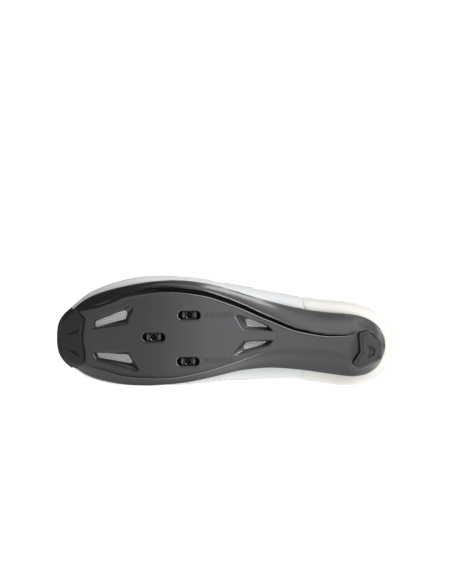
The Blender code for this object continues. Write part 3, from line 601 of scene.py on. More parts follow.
def blackZincSteel():
    # pressed steel with a black zinc coat: dark, half matt; painted shade blackens its hollows, so edges look
    # brighter
    made, tree, shader, spot = newSurface("blackZincSteel", {"Metallic": 1.0, "Roughness": 0.22})
    grain = addNode(tree, "ShaderNodeTexNoise", {"Scale": 1 / 0.0012, "Detail": 3.0},
                    {"Vector": (spot, "Object")})
    tint = addNode(tree, "ShaderNodeMix",
                   {"data_type": "RGBA", 6: hexColour("#5c5d61"), 7: hexColour("#76777b")}, {0: (grain, 0)})
    shadeHollows(tree, shader, tint, 0.0042, 0.03)
    gloss = addNode(tree, "ShaderNodeMapRange", {3: 0.18, 4: 0.30}, {0: (grain, 0)})
    tree.links.new(gloss.outputs[0], shader.inputs["Roughness"])
    return made


def wovenMesh():
    # monofilament polyester mesh: a light grey square weave, drawn coarser than the real one so that it shows
    made, tree, shader, spot = newSurface("polyesterMesh", {"Roughness": 0.70, "Sheen Weight": 0.2})
    pitch = 0.0018
    bandsApart = 0.314  # at a scale of 1
    turned = addNode(tree, "ShaderNodeMapping", {"Rotation": (0.0, 0.2, 0.0)}, {"Vector": (spot, "Object")})
    warp, weft = [addNode(tree, "ShaderNodeTexWave", {"Scale": bandsApart / pitch, "bands_direction": axis},
                          {"Vector": (turned, 0)}) for axis in ("X", "Z")]
    cross = addNode(tree, "ShaderNodeMath", {"operation": "MULTIPLY"}, {0: (warp, 1), 1: (weft, 1)})
    tint = addNode(tree, "ShaderNodeMix",
                   {"data_type": "RGBA", 6: hexColour("#d2d4d5"), 7: hexColour("#6a6c6d")}, {0: (cross, 0)})
    tree.links.new(tint.outputs[2], shader.inputs["Base Color"])
    bump = addNode(tree, "ShaderNodeBump", {"Strength": 0.6, "Distance": 0.0002, "invert": True},
                   {"Height": (cross, 0)})
    tree.links.new(bump.outputs[0], shader.inputs["Normal"])
    return made


def coatedLeather(name, low, high, roughness, pebble):
    # microfibre with a polyurethane skin: smooth, with a fine pebble and a soft gloss
    made, tree, shader, spot = newSurface(name, {"Roughness": roughness, "IOR": 1.48, "Coat Weight": 0.08,
                                                 "Coat Roughness": 0.35})
    cells = addNode(tree, "ShaderNodeTexVoronoi", {"Scale": 1 / pebble, "Randomness": 1.0},
                    {"Vector": (spot, "Object")})
    broad = addNode(tree, "ShaderNodeTexNoise", {"Scale": 1 / 0.018, "Detail": 3.0},
                    {"Vector": (spot, "Object")})
    tint = addNode(tree, "ShaderNodeMix", {"data_type": "RGBA", 6: hexColour(low), 7: hexColour(high)},
                   {0: (broad, 0)})
    tree.links.new(tint.outputs[2], shader.inputs["Base Color"])
    bump = addNode(tree, "ShaderNodeBump", {"Strength": 0.22, "Distance": 0.0001}, {"Height": (cells, 0)})
    tree.links.new(bump.outputs[0], shader.inputs["Normal"])
    return made


def knitLining():
    # warp-knit polyester: soft and matt, with a light sheen
    made, tree, shader, spot = newSurface("knitLining", {"Roughness": 0.90, "Sheen Weight": 0.35})
    cells = addNode(tree, "ShaderNodeTexVoronoi", {"Scale": 1 / 0.0010, "Randomness": 0.25},
                    {"Vector": (spot, "Object")})
    tint = addNode(tree, "ShaderNodeMix",
                   {"data_type": "RGBA", 6: hexColour("#9fa2a6"), 7: hexColour("#c9ccd0")}, {0: (cells, 0)})
    tree.links.new(tint.outputs[2], shader.inputs["Base Color"])
    bump = addNode(tree, "ShaderNodeBump", {"Strength": 0.5, "Distance": 0.0003}, {"Height": (cells, 0)})
    tree.links.new(bump.outputs[0], shader.inputs["Normal"])
    return made


def foamWithPaintedShadeBelow():
    # foam insole: grey knit on the foot's side; painted shade: black on the side that faces the sole
    made, tree, shader, spot = newSurface("foamWithPaintedShadeBelow", {"Roughness": 0.90, "Sheen Weight": 0.2})
    facing = addNode(tree, "ShaderNodeNewGeometry")
    axes = addNode(tree, "ShaderNodeSeparateXYZ", {}, {0: (facing, "True Normal")})
    inward = addNode(tree, "ShaderNodeMapRange", {1: -0.2, 2: 0.2}, {0: (axes, 1)})
    tint = addNode(tree, "ShaderNodeMix",
                   {"data_type": "RGBA", 6: hexColour("#0b0b0c"), 7: hexColour("#a9acb0")}, {0: (inward, 0)})
    tree.links.new(tint.outputs[2], shader.inputs["Base Color"])
    grain = addNode(tree, "ShaderNodeTexNoise", {"Scale": 1 / 0.0008}, {"Vector": (spot, "Object")})
    bump = addNode(tree, "ShaderNodeBump", {"Strength": 0.3, "Distance": 0.0002}, {"Height": (grain, 0)})
    tree.links.new(bump.outputs[0], shader.inputs["Normal"])
    return made


def sewingThread():
    # bonded polyester thread, matt and a little greyer than the leather
    made, tree, shader, spot = newSurface("sewingThread", {"Roughness": 0.75})
    ply = addNode(tree, "ShaderNodeTexNoise", {"Scale": 1 / 0.0005}, {"Vector": (spot, "Object")})
    tint = addNode(tree, "ShaderNodeMix",
                   {"data_type": "RGBA", 6: hexColour("#b9bbbe"), 7: hexColour("#dcdee0")}, {0: (ply, 0)})
    tree.links.new(tint.outputs[2], shader.inputs["Base Color"])
    return made


finishes = {
    # painted light: near black at the toe, greyer towards the heel
    "sole": mouldedNylon("glassFilledNylon", "#141516", "#434447"),
    # painted light: a shaded and a lit copy of the nylon for the raised marks
    "paintedShadeMarks": mouldedNylon("nylonInShade", "#18191b", "#2a2b2d"),
    "paintedLitMarks": mouldedNylon("nylonPaintedLit", "#2c2d30", "#5c5d61"),
    # painted highlight: a light nylon for the edge beads
    "edges": mouldedNylon("nylonPaintedHighlight", "#5a5b5f", "#9c9da2", 0.9),
    "bumper": mouldedRubber("blackRubber", "#131517", "#1c1e20", 0.58),
    "pad": mouldedRubber("greyRubber", "#3a3b3e", "#454649", 0.50),
    "steel": blackZincSteel(),
    "screen": wovenMesh(),
    "upper": coatedLeather("coatedMicrofibre", "#dee0e2", "#e6e8e9", 0.42, 0.0007),
    "counter": coatedLeather("ivoryFilm", "#eae8e1", "#eeece6", 0.34, 0.0011),
    "strap": coatedLeather("strapMicrofibre", "#dbdee0", "#e3e6e7", 0.45, 0.0007),
    "lining": knitLining(),
    "insole": foamWithPaintedShadeBelow(),
    "thread": sewingThread(),
}
print("finishes made:", len(finishes))


# Sole

sole = {
    "stations": 300,
    "endMargin": 0.012,
    "edgePoints": 600,
    "nearRidge": 0.0064,
    "nearMost": 0.7,
    "grooveDepth": 0.0048,
    "grooveWidth": 0.0044,
    "grooveWall": 0.0009,
    "grooveSlope": 0.18,
    "bead": 0.0005,
    "beadWidth": 0.0007,
    "crest": 0.0006,
    "crestWidth": 0.0012,
    "stepDepth": 0.0004,
    "stepWidth": 0.0006,
    "rimRadius": 0.0014,
    "heelRimRadius": 0.0030,
    "heelRimFrom": 0.86,
    "heelRimOver": 0.08,
    "topFillet": 0.0004,
}
outlineTree = kdtree.KDTree(2 * sole["edgePoints"])
for index in range(2 * sole["edgePoints"]):
    share = (index % sole["edgePoints"] + 0.5) / sole["edgePoints"]
    point, _ = edgeOf(-1 if index < sole["edgePoints"] else 1, unspread(share))
    outlineTree.insert((point.x, 0.0, point.y), index)
outlineTree.balance()


def rimRounding(x, z):
    # how far the underside has turned up towards the rim's wall
    heel = ease((x / shoe["length"] - sole["heelRimFrom"]) / sole["heelRimOver"])
    radius = sole["rimRadius"] + (sole["heelRimRadius"] - sole["rimRadius"]) * heel
    near = outlineTree.find((x, 0.0, z))[2]
    if near >= radius:
        return 0.0
    return radius - math.sqrt(max(radius ** 2 - (radius - near) ** 2, 0.0))


def beadAt(station, side, away):
    # height of the bead along an edge of the raised centre, at a distance from that edge
    crest = "groove" if side > 0 else "step"
    return sole["bead"] * read("profile", crest, station) * math.exp(-(away / sole["beadWidth"]) ** 2)


def undersideFine(station, across, side, out, near):
    # the flank, with its bead, and the lateral groove and crest or the medial step
    x, z = metres(station, across)
    fade = min(near / sole["nearRidge"], 1.0)
    height = underside(x, z) - beadAt(station, side, out) * fade
    if side > 0:
        groove = read("profile", "groove", station)
        width = sole["grooveWidth"] * read("profile", "grooveWidth", station)
        beyond = (out - width - sole["crestWidth"]) / sole["crestWidth"]
        walls = min(ease(out / sole["grooveWall"]), ease((width - out) / (sole["grooveSlope"] * width)))
        height -= sole["crest"] * groove * math.exp(-beyond ** 2) * fade
        height += sole["grooveDepth"] * groove * walls * fade
    else:
        step = read("profile", "step", station) * ease(out / sole["stepWidth"])
        height += sole["stepDepth"] * step * (1.0 - flankShare(station, across)[1]) * fade
    return Vector((x, height + rimRounding(x, z), z))


def plateFine(station, across, side, into, near):
    # the raised centre, with the bead along its edge
    x, z = metres(station, across)
    fade = min(near / sole["nearRidge"], 1.0)
    return Vector((x, underside(x, z) - beadAt(station, side, into) * fade + rimRounding(x, z), z))


# Where the lanes of a section lie: out from the ridge, on to the rim, over the raised centre and over the bed
nearShares = (0.0, 0.03, 0.06, 0.09, 0.12, 0.16, 0.22, 0.29, 0.37, 0.45, 0.50, 0.55, 0.59, 0.63, 0.67, 0.72,
              0.80, 0.90, 1.0)
flankShares = (0.10, 0.20, 0.30, 0.40, 0.50, 0.60, 0.68, 0.76, 0.83, 0.88, 0.92, 0.95, 0.975, 0.99, 1.0)
centreShares = [0.008, 0.02] + [k / 20 for k in range(1, 20)] + [0.98, 0.992]
bedShares = (0.0, 0.012, 0.06, 0.14, 0.24, 0.36, 0.5, 0.64, 0.76, 0.86, 0.94, 0.988, 1.0)


def soleRing(station):
    # the points round one section: the underside from the medial rim to the lateral one, then the bed back
    middle, half = read("outline", "middle", station), read("outline", "half", station)
    low, high = middle - half, middle + half
    ridges = centreEdges(station)
    ring = []
    for side, rim, ridge in ((-1, low, ridges[0]), (1, high, ridges[1])):
        reach = abs(rim - ridge) * shoe["width"]
        near = min(sole["nearRidge"], sole["nearMost"] * reach)
        outs = [near * t for t in nearShares] + [near + (reach - near) * t for t in flankShares]
        lanes = [undersideFine(station, ridge + side * out / shoe["width"], side, out, near) for out in outs]
        if side > 0:
            ring += lanes
            continue
        ring += lanes[::-1]
        for t in centreShares:
            across = ridges[0] + (ridges[1] - ridges[0]) * t
            away = (across - ridges[0], ridges[1] - across)
            whose = -1 if away[0] < away[1] else 1
            ring.append(plateFine(station, across, whose, min(away) * shoe["width"], near))
    for t in bedShares:
        x, z = metres(station, high + (low - high) * t)
        ring.append(Vector((x, bed(x, z) - (sole["topFillet"] if t in (0.0, 1.0) else 0.0), z)))
    return ring


def planPolygon(corners, radius, grow=0.0, steps=4, along=1):
    # corners given as shares, rounded and moved outwards by grow, as (x, z) points, with some along each side
    cornerMost = 0.4  # of a side's length
    points = [Vector(metres(*corner)) for corner in corners]
    area = sum(a.x * b.y - b.x * a.y for a, b in zip(points, points[1:] + points[:1]))
    turn = 1.0 if area > 0.0 else -1.0
    moved = []
    count = len(points)
    for i in range(count):
        a, b, c = points[i - 1], points[i], points[(i + 1) % count]
        into, away = (b - a).normalized(), (c - b).normalized()
        n1 = Vector((into.y, -into.x)) * turn
        n2 = Vector((away.y, -away.x)) * turn
        moved.append(b + (n1 + n2) * (grow / (1.0 + n1.dot(n2))))
    rounded = []
    for i in range(count):
        a, b, c = moved[i - 1], moved[i], moved[(i + 1) % count]
        back, ahead = a - b, c - b
        reach = min(radius, cornerMost * back.length, cornerMost * ahead.length)
        start, end = b + back.normalized() * reach, b + ahead.normalized() * reach
        for k in range(steps + 1):
            t = k / steps
            rounded.append(start * (1 - t) ** 2 + b * 2 * t * (1 - t) + end * t * t)
        nextCorner = moved[(i + 1) % count]
        nextSide = moved[(i + 2) % count] - nextCorner
        onward = min(radius, cornerMost * ahead.length, cornerMost * nextSide.length)
        beyond = nextCorner - ahead.normalized() * onward
        rounded += [end.lerp(beyond, k / along) for k in range(1, along)]
    return rounded


# Vents: the corners of each recess in the underside and of the mesh at its bottom, as shares
vents = {
    "front_lateral": {
        "depth": 0.0034,
        "recess": ((0.100, 0.105), (0.106, 0.191), (0.220, 0.330), (0.228, 0.309), (0.211, 0.167)),
        "mesh": ((0.111, 0.116), (0.109, 0.176), (0.200, 0.290), (0.211, 0.270), (0.205, 0.199)),
    },
    "front_medial": {
        "depth": 0.0034,
        "recess": ((0.102, -0.116), (0.215, -0.112), (0.244, -0.274), (0.237, -0.286), (0.113, -0.187)),
        "mesh": ((0.113, -0.120), (0.211, -0.136), (0.225, -0.207), (0.218, -0.223), (0.119, -0.171)),
    },
    "rear_lateral": {
        "depth": 0.0046,
        "recess": ((0.537, 0.226), (0.551, 0.230), (0.636, 0.136), (0.657, 0.065), (0.563, 0.088)),
        "mesh": ((0.567, 0.187), (0.582, 0.195), (0.634, 0.124), (0.641, 0.105), (0.577, 0.112)),
    },
    "rear_medial": {
        "depth": 0.0046,
        "recess": ((0.562, -0.018), (0.656, -0.014), (0.642, -0.069), (0.545, -0.156), (0.534, -0.132)),
        "mesh": ((0.570, -0.029), (0.638, -0.022), (0.622, -0.061), (0.566, -0.105), (0.562, -0.081)),
    },
}
vent = {
    "corner": 0.0011,
    "lip": 0.0010,
    "lipInset": 0.4,
    "lipAngles": (18, 36, 54, 72),
    "levels": (0.0, 0.10, 0.22, 0.36, 0.52, 0.70, 0.86, 1.0),
    "bend": 1.5,
    "sink": 0.0004,
    "sideSteps": 8,
    "screenWall": 0.0008,
    "screenInset": 0.0002,
    "screenRest": 0.0001,
}
cutter = {"above": (5.0, -0.0030), "skin": (1.35, -0.0001), "top": 0.030}


def lipLevels(lip, angles):
    # (growth, rise) of a cutter: twice outside the sole, then round the lip
    outside = [(lip * times, rise) for times, rise in (cutter["above"], cutter["skin"])]
    turns = [math.radians(angle) for angle in angles]
    return outside + [(lip * (1.0 - math.sin(turn)), lip * (1.0 - math.cos(turn))) for turn in turns]


def ventCutter(shape):
    # a rounded lip, walls that curve down to the mesh, then straight through the sole
    lip = vent["lip"]

    def recess(grow):
        return planPolygon(shape["recess"], vent["corner"] + grow, grow - vent["lipInset"] * lip,
                           along=vent["sideSteps"])

    rings = [raised(recess(grow), rise, underside) for grow, rise in lipLevels(lip, vent["lipAngles"])]
    first, last = recess(0.0), planPolygon(shape["mesh"], vent["corner"], along=vent["sideSteps"])
    fall = shape["depth"] - vent["sink"] - lip
    for t in vent["levels"]:
        ring = [a.lerp(b, t) for a, b in zip(first, last)]
        rings.append(raised(ring, lip + fall * (1.0 - (1.0 - t) ** vent["bend"]), underside))
    rings.append(raised(last, cutter["top"]))
    return faceOut(skinOver(rings))


# Cleat slots: station and place across, as shares
slots = {
    "front": (0.2895, 0.028),
    "rear_medial": (0.3940, -0.206),
    "rear_lateral": (0.3985, 0.234),
}
slot = {
    "length": 0.0190,
    "width": 0.0075,
    "lip": 0.0009,
    "lipInset": 0.3,
    "lipAngles": (25, 50, 70, 90),
    "steps": 12,
}
nut = {
    "length": 0.0120,
    "width": 0.0125,
    "plate": 0.0016,
    "collar": 0.0068,
    "thread": 0.0045,
    "drop": 0.0016,
    "edge": 0.0003,
    "chamfer": ((0.0, 0.0008), (0.0002, 0.00035), (0.0007, 0.0)),
    "points": 48,
}


def stadium(x, z, length, width, steps):
    points = []
    for end in (1, -1):
        for k in range(steps + 1):
            angle = math.pi * (k / steps - 0.5)
            reach = (length - width) / 2 + width / 2 * math.cos(angle)
            points.append(Vector((x + end * reach, z + end * width / 2 * math.sin(angle))))
    return points


def slotCutter(shares):
    x, z = metres(*shares)
    level, lip = levelAt(stationAt(x)), slot["lip"]
    rings = []
    for grow, rise in lipLevels(lip, slot["lipAngles"]) + [(0.0, cutter["top"])]:
        grow -= slot["lipInset"] * lip
        around = stadium(x, z, slot["length"] + 2 * grow, slot["width"] + 2 * grow, slot["steps"])
        rings.append(raised(around, level + rise))
    return faceOut(skinOver(rings))


def nutFloor(shares):
    return bed(*metres(*shares)) - nut["plate"] - 2.0 * shoe["gap"]


def nutCutter(shares):
    x, z = metres(*shares)
    length = slot["length"] - slot["width"] + nut["length"] + 2.0 * shoe["gap"]
    width = nut["width"] + 2.0 * shoe["gap"]
    low, high = nutFloor(shares) - shoe["gap"], cutter["top"]
    bm = bmesh.new()
    bmesh.ops.create_cube(bm, size=1.0)
    bmesh.ops.scale(bm, vec=(length, high - low, width), verts=bm.verts)
    bmesh.ops.translate(bm, vec=(x, (low + high) / 2, z), verts=bm.verts)
    return faceOut(bm)


# Walking pad under the heel
pad = {
    "outline": (
        (0.917, 0.049), (0.939, 0.076), (0.986, -0.046), (0.985, -0.188),
        (0.921, -0.282), (0.898, -0.227), (0.921, -0.125), (0.917, 0.010),
    ),
    "pocketOutline": (
        (0.9135, 0.049), (0.939, 0.077), (0.986, -0.046), (0.985, -0.188),
        (0.920, -0.283), (0.8945, -0.229), (0.917, -0.125), (0.9135, 0.010),
    ),
    "opening": ((0.949, -0.058), (0.965, -0.093), (0.961, -0.165), (0.942, -0.188)),
    "corner": 0.0022,
    "bevel": 0.0020,
    "bevelRise": 0.0007,
    "bevelEnd": 0.9,
    "flatSteps": (0.0004, 0.0002),
    "lip": 0.0005,
    "lipSupport": 1.6,
    "recess": 0.0016,
    "pocket": 0.0006,
    "pocketBelow": -0.010,
    "seatDepth": 0.0009,
}


def padSeat():
    corners = planPolygon(pad["outline"], pad["corner"], steps=3)
    return max(underside(p.x, p.y) for p in corners) + pad["seatDepth"]


def padCutter():
    ring = planPolygon(pad["pocketOutline"], pad["corner"] + pad["pocket"], pad["pocket"])
    return faceOut(skinOver([raised(ring, y) for y in (pad["pocketBelow"], padSeat())]))


def makeSole():
    margin, count = sole["endMargin"], sole["stations"]
    rings = [soleRing(unspread(margin + (1.0 - 2 * margin) * i / count)) for i in range(count + 1)]
    obj = meshObject("sole", faceOut(skinOver(rings)))
    recesses = [ventCutter(shape) for shape in vents.values()] + [padCutter()]
    cutFrom(obj, recesses + [slotCutter(shares) for shares in slots.values()])
    cutFrom(obj, [nutCutter(shares) for shares in slots.values()])
    finishPiece(obj, "sole", ["outsole"], sharp=38)


makeSole()

# Raised marks on the plate: ladders of ticks beside the cleat slots, a crescent and four mould marks
marks = {
    "height": 0.00012,
    "tick": 0.0006,
    "rowWider": 1.3,
    "columns": (
        {"stations": (0.280, 0.297), "from": 0.098, "to": 0.400, "step": 0.0229},
        {"stations": (0.281, 0.295), "from": -0.335, "to": -0.052, "step": 0.0229},
    ),
    "rows": (
        {"across": (0.207, 0.257), "from": 0.446, "to": 0.532, "step": 0.0075},
        {"across": (-0.222, -0.172), "from": 0.4445, "to": 0.530, "step": 0.0075},
    ),
    "pins": ((0.403, 0.352), (0.407, 0.386), (0.411, 0.365), (0.467, -0.012)),
    "pin": {"radius": 0.0006, "taper": 0.8, "depth": 0.0003, "segments": 14},
    "arc": {"spot": (0.432, -0.135), "radius": 0.0022, "from": -50, "to": 60, "width": 0.0005,
            "root": 0.0001, "steps": 13},
}


def makeMarks():
    # painted light: the columns, pins and crescent get the lit copy of the nylon, the rows the shaded copy
    light, dark = bmesh.new(), bmesh.new()
    tick = marks["tick"]

    def addBar(bm, x, z, length, width):
        made = bmesh.ops.create_cube(bm, size=1.0)["verts"]
        bmesh.ops.scale(bm, vec=(length, 2.0 * marks["height"], width), verts=made)
        bmesh.ops.translate(bm, vec=(x, underside(x, z), z), verts=made)

    def steps(ladder):
        count = int((ladder["to"] - ladder["from"]) / ladder["step"]) + 1
        return [ladder["from"] + k * ladder["step"] for k in range(count)]

    for column in marks["columns"]:
        first, last = [s * shoe["length"] for s in column["stations"]]
        for across in steps(column):
            addBar(light, (first + last) / 2, across * shoe["width"], last - first, tick)
    for row in marks["rows"]:
        first, last = [z * shoe["width"] for z in row["across"]]
        for station in steps(row):
            addBar(dark, station * shoe["length"], (first + last) / 2, tick * marks["rowWider"], last - first)
    pin = marks["pin"]
    upright = Matrix.Rotation(math.radians(90), 3, "X")
    for shares in marks["pins"]:
        x, z = metres(*shares)
        made = bmesh.ops.create_cone(light, cap_ends=True, segments=pin["segments"], depth=pin["depth"],
                                     radius1=pin["radius"], radius2=pin["radius"] * pin["taper"])["verts"]
        bmesh.ops.rotate(light, verts=made, cent=(0, 0, 0), matrix=upright)
        bmesh.ops.translate(light, vec=(x, underside(x, z), z), verts=made)
    arc = marks["arc"]
    x, z = metres(*arc["spot"])
    rings = []
    for k in range(arc["steps"]):
        angle = math.radians(arc["from"] + (arc["to"] - arc["from"]) * k / (arc["steps"] - 1))
        half = arc["width"] / 2 * math.sin(math.pi * (k + 0.5) / arc["steps"])
        root, crest = arc["root"], -marks["height"]
        ring = []
        for out, rise in ((-half, root), (-half, crest), (half, crest), (half, root)):
            reach = arc["radius"] + out
            ring.append(Vector((x + reach * math.cos(angle), rise, z + reach * math.sin(angle))))
        rings.append(ring)
    joinInto(light, skinOver(rings))
    addPiece("sole_marks_painted_lit", light, "paintedLitMarks")
    addPiece("sole_marks_painted_shade", dark, "paintedShadeMarks")


makeMarks()

# Painted highlights: thin light beads along the raised centre's edges and the toe ends of the slots and vents
beads = {
    "radius": 0.00042,
    "sink": 0.0001,
    "least": 0.15,
    "fade": 6.0,
    "points": 8,
    "ridges": ({"side": 1, "from": 0.33, "to": 0.90}, {"side": -1, "from": 0.14, "to": 0.64}),
    "ridgeCount": 240,
    "slotArc": (112, 252),
    "slotOut": 0.0003,
    "slotCount": 20,
    "ventSteps": 6,
    "vents": (
        ((0.5365, 0.226), (0.541, 0.190), (0.549, 0.140), (0.5635, 0.084)),
        ((0.5335, -0.140), (0.537, -0.151), (0.544, -0.157)),
        ((0.101, -0.122), (0.105, -0.150), (0.112, -0.188)),
        ((0.0985, 0.104), (0.0995, 0.110), (0.1010, 0.116)),
    ),
}


def addBead(bm, path):
    rings = []
    last = len(path) - 1
    for k, point in enumerate(path):
        along = path[min(k + 1, last)] - path[max(k - 1, 0)]
        across = Vector((-along.z, 0.0, along.x)).normalized()
        near = beads["least"] + beads["fade"] * min(k, last - k) / last
        radius = beads["radius"] * min(1.0, near)
        ring = []
        for j in range(beads["points"]):
            angle = 2.0 * math.pi * j / beads["points"]
            lift = Vector((0.0, radius * math.sin(angle), 0.0))
            ring.append(point + across * radius * math.cos(angle) + lift)
        rings.append(ring)
    joinInto(bm, faceOut(skinOver(rings)))


def makeBeads():
    bm = bmesh.new()
    for line in beads["ridges"]:
        path = []
        for k in range(beads["ridgeCount"] + 1):
            station = line["from"] + (line["to"] - line["from"]) * k / beads["ridgeCount"]
            x, z = metres(station, centreEdges(station)[1 if line["side"] > 0 else 0])
            level = underside(x, z) - beadAt(station, line["side"], 0.0) + beads["sink"]
            path.append(Vector((x, level, z)))
        addBead(bm, path)
    first, last = [math.radians(a) for a in beads["slotArc"]]
    for shares in slots.values():
        x, z = metres(*shares)
        x -= (slot["length"] - slot["width"]) / 2
        reach, level = slot["width"] / 2 + beads["slotOut"], levelAt(shares[0]) + 2.0 * beads["sink"]
        angles = [first + (last - first) * k / beads["slotCount"] for k in range(beads["slotCount"] + 1)]
        addBead(bm, [Vector((x + reach * math.cos(a), level, z + reach * math.sin(a))) for a in angles])
    for corners in beads["vents"]:
        points, count = [Vector(metres(*corner)) for corner in corners], beads["ventSteps"]
        path = [a.lerp(b, k / count) for a, b in zip(points, points[1:]) for k in range(count)] + points[-1:]
        addBead(bm, raised(path, beads["sink"], underside))
    addPiece("sole_painted_highlight_beads", bm, "edges", sharp=60)


makeBeads()
print("sole made")


def makeScreens():
    for name, shape in vents.items():
        ring = planPolygon(shape["mesh"], vent["corner"], -vent["screenInset"])
        low = shape["depth"] - vent["sink"] + vent["screenRest"]
        skin = skinOver([raised(ring, low + rise, underside) for rise in (0.0, vent["screenWall"])])
        addPiece("mesh_" + name, skin, "screen", ["vent_screen_" + name])


makeScreens()


def makeNuts():
    count, edge = nut["points"], nut["edge"]
    circle = [(math.cos(2 * math.pi * k / count), math.sin(2 * math.pi * k / count)) for k in range(count)]
    for name, shares in slots.items():
        x, z = metres(*shares)
        seat = nutFloor(shares)

        def ring(radius, y):
            return [Vector((x + radius * c, y, z + radius * s)) for c, s in circle]

        def plate(y, inset):
            halfX, halfZ = nut["length"] / 2 - inset, nut["width"] / 2 - inset
            scale = [1.0 / max(abs(c) / halfX, abs(s) / halfZ) for c, s in circle]
            return [Vector((x + c * k, y, z + s * k)) for (c, s), k in zip(circle, scale)]

        bore, collar = nut["thread"] / 2, nut["collar"] / 2
        low, top = seat - nut["drop"], seat + nut["plate"]
        rings = [ring(bore, top - edge)] + [ring(bore + out, low + rise) for out, rise in nut["chamfer"]]
        rings += [ring(collar - edge, low), ring(collar, low + edge), ring(collar, seat), plate(seat, edge),
                  plate(seat + edge, 0.0), plate(top - edge, 0.0), plate(top, edge)]
        addPiece("nut_" + name, skinOver(rings), "steel", ["cleat_nut_" + name])


makeNuts()


def onOutline(ring, middle, point):
    # where the line from the middle to a point crosses an outline
    ray = point - middle
    best = 0.0
    for a, b in zip(ring, ring[1:] + ring[:1]):
        edge = b - a
        cross = ray.x * edge.y - ray.y * edge.x
        if abs(cross) < 1e-15:
            continue
        t = ((a.x - middle.x) * edge.y - (a.y - middle.y) * edge.x) / cross
        u = ((a.x - middle.x) * ray.y - (a.y - middle.y) * ray.x) / cross
        if -1e-6 <= u <= 1.0 + 1e-6:
            best = max(best, t)
    return middle + ray * best


def makePad():
    # flat on the ground, with a low wide bevel, a rounded edge and a shallow recess
    def shrunk(by):
        return planPolygon(pad["outline"], pad["corner"] - by, -by, steps=8)

    outer = shrunk(0.0)
    hole = planPolygon(pad["opening"], pad["corner"] / 2, steps=6)
    middle = sum(hole, Vector((0.0, 0.0))) / len(hole)
    inner = [onOutline(hole, middle, point) for point in outer]

    def aroundHole(out):
        return [b + (a - b).normalized() * out for a, b in zip(outer, inner)]

    lip, bevel = pad["lip"], pad["bevel"]
    levels = [(outer, padSeat() - shoe["gap"])]
    for angle in [math.radians(22.5 * k) for k in range(5)]:
        rise = pad["bevelRise"] + lip * (1.0 - math.sin(angle))
        levels.append((shrunk(lip * (1.0 - math.cos(angle))), rise))
    levels.append((shrunk(bevel), pad["bevelRise"] * pad["bevelEnd"]))
    for more in pad["flatSteps"]:
        bevel += more
        levels.append((shrunk(bevel), 0.0))
    levels.append((aroundHole(lip * pad["lipSupport"]), 0.0))
    for angle in [math.radians(30.0 * k) for k in (3, 2, 1, 0)]:
        levels.append((aroundHole(lip * (1.0 - math.cos(angle))), lip * (1.0 - math.sin(angle))))
    levels.append((inner, pad["recess"]))
    skin = skinOver([raised(ring, y) for ring, y in levels])
    addPiece("heel_pad_rubber", skin, "pad", ["heel_pad"])


makePad()
print("hardware made")

# Toe bumper: its rear edge from the medial to the lateral side, and its two wedge-shaped dents, as shares
bumper = {
    "edge": ((0.050, -0.281), (0.076, -0.203), (0.075, -0.121), (0.068, 0.000), (0.070, 0.070),
             (0.075, 0.180), (0.075, 0.207), (0.042, 0.303)),
    "dents": (((0.0177, 0.044), (0.0599, 0.108), (0.0572, 0.060)),
              ((0.0196, -0.087), (0.0581, -0.118), (0.0624, -0.162))),
    "reach": 0.130,
    "least": 0.002,
    "wall": 0.0020,
    "taper": 0.45,
    "height": 0.0050,
    "columns": 72,
    "shares": (0.0, 0.03, 0.08, 0.16, 0.26, 0.36, 0.46, 0.56, 0.66, 0.75, 0.83, 0.90, 0.96, 1.0),
    "topEdge": ((0.45, 0.0002), (0.75, -0.0004), (0.95, -0.0014)),
    "lowEdge": 0.0006,
    "lowRound": 1.1,
    "rearThin": 0.86,
    "rearEnd": 0.35,
    "dentDepth": 0.0008,
    "dentBelow": -0.004,
    "dentTip": 0.0001,
    "dentSlant": 0.5,
}


def bumperRings():
    rings = []
    corners = [Vector(metres(*corner)) for corner in bumper["edge"]]
    lengths = [0.0]
    for a, b in zip(corners, corners[1:]):
        lengths.append(lengths[-1] + (b - a).length)
    for k in range(bumper["columns"] + 1):
        t = k / bumper["columns"]
        wall = bumper["wall"] * (1.0 - bumper["taper"] * (2.0 * t - 1.0) ** 4)
        place = bumper["reach"] * (2.0 * t - 1.0)
        rim, outward = edgeOf(-1 if place < 0 else 1, unspread(abs(place)))
        reach = lengths[-1] * t
        i = next(j for j in range(len(lengths) - 1) if reach <= lengths[j + 1] + 1e-9)
        rear = corners[i].lerp(corners[i + 1], (reach - lengths[i]) / (lengths[i + 1] - lengths[i]))
        if (rear - rim).length < bumper["least"]:
            rear = rim - outward * bumper["least"]
        path = [rear.lerp(rim, share) for share in bumper["shares"]]
        inner = raised(path, -shoe["softGap"], underside)
        low = inner[-1].y
        front = rim + outward * shoe["softGap"]
        top = min(low + shoe["gap"] + shoe["rimWall"], low + bumper["height"])
        inner[-1:] = [Vector((front.x, low, front.y)), Vector((front.x, top, front.y))]
        outer = [Vector((front.x + outward.x * wall * share, top + rise, front.y + outward.y * wall * share))
                 for share, rise in bumper["topEdge"]]
        for angle in [math.radians(18 * step) for step in range(6)]:
            out = shoe["softGap"] + wall * math.cos(angle)
            height = low + bumper["lowEdge"] - wall * bumper["lowRound"] * math.sin(angle)
            outer.append(Vector((rim.x + outward.x * out, height, rim.y + outward.y * out)))
        thick = [1.0] * (len(path) - 3) + [bumper["rearThin"], bumper["rearEnd"]]
        outer += [Vector((p.x, q.y - wall * s, p.y)) for p, q, s in zip(path[-2::-1], inner[-3::-1], thick)]
        rings.append(inner + outer)
    return rings


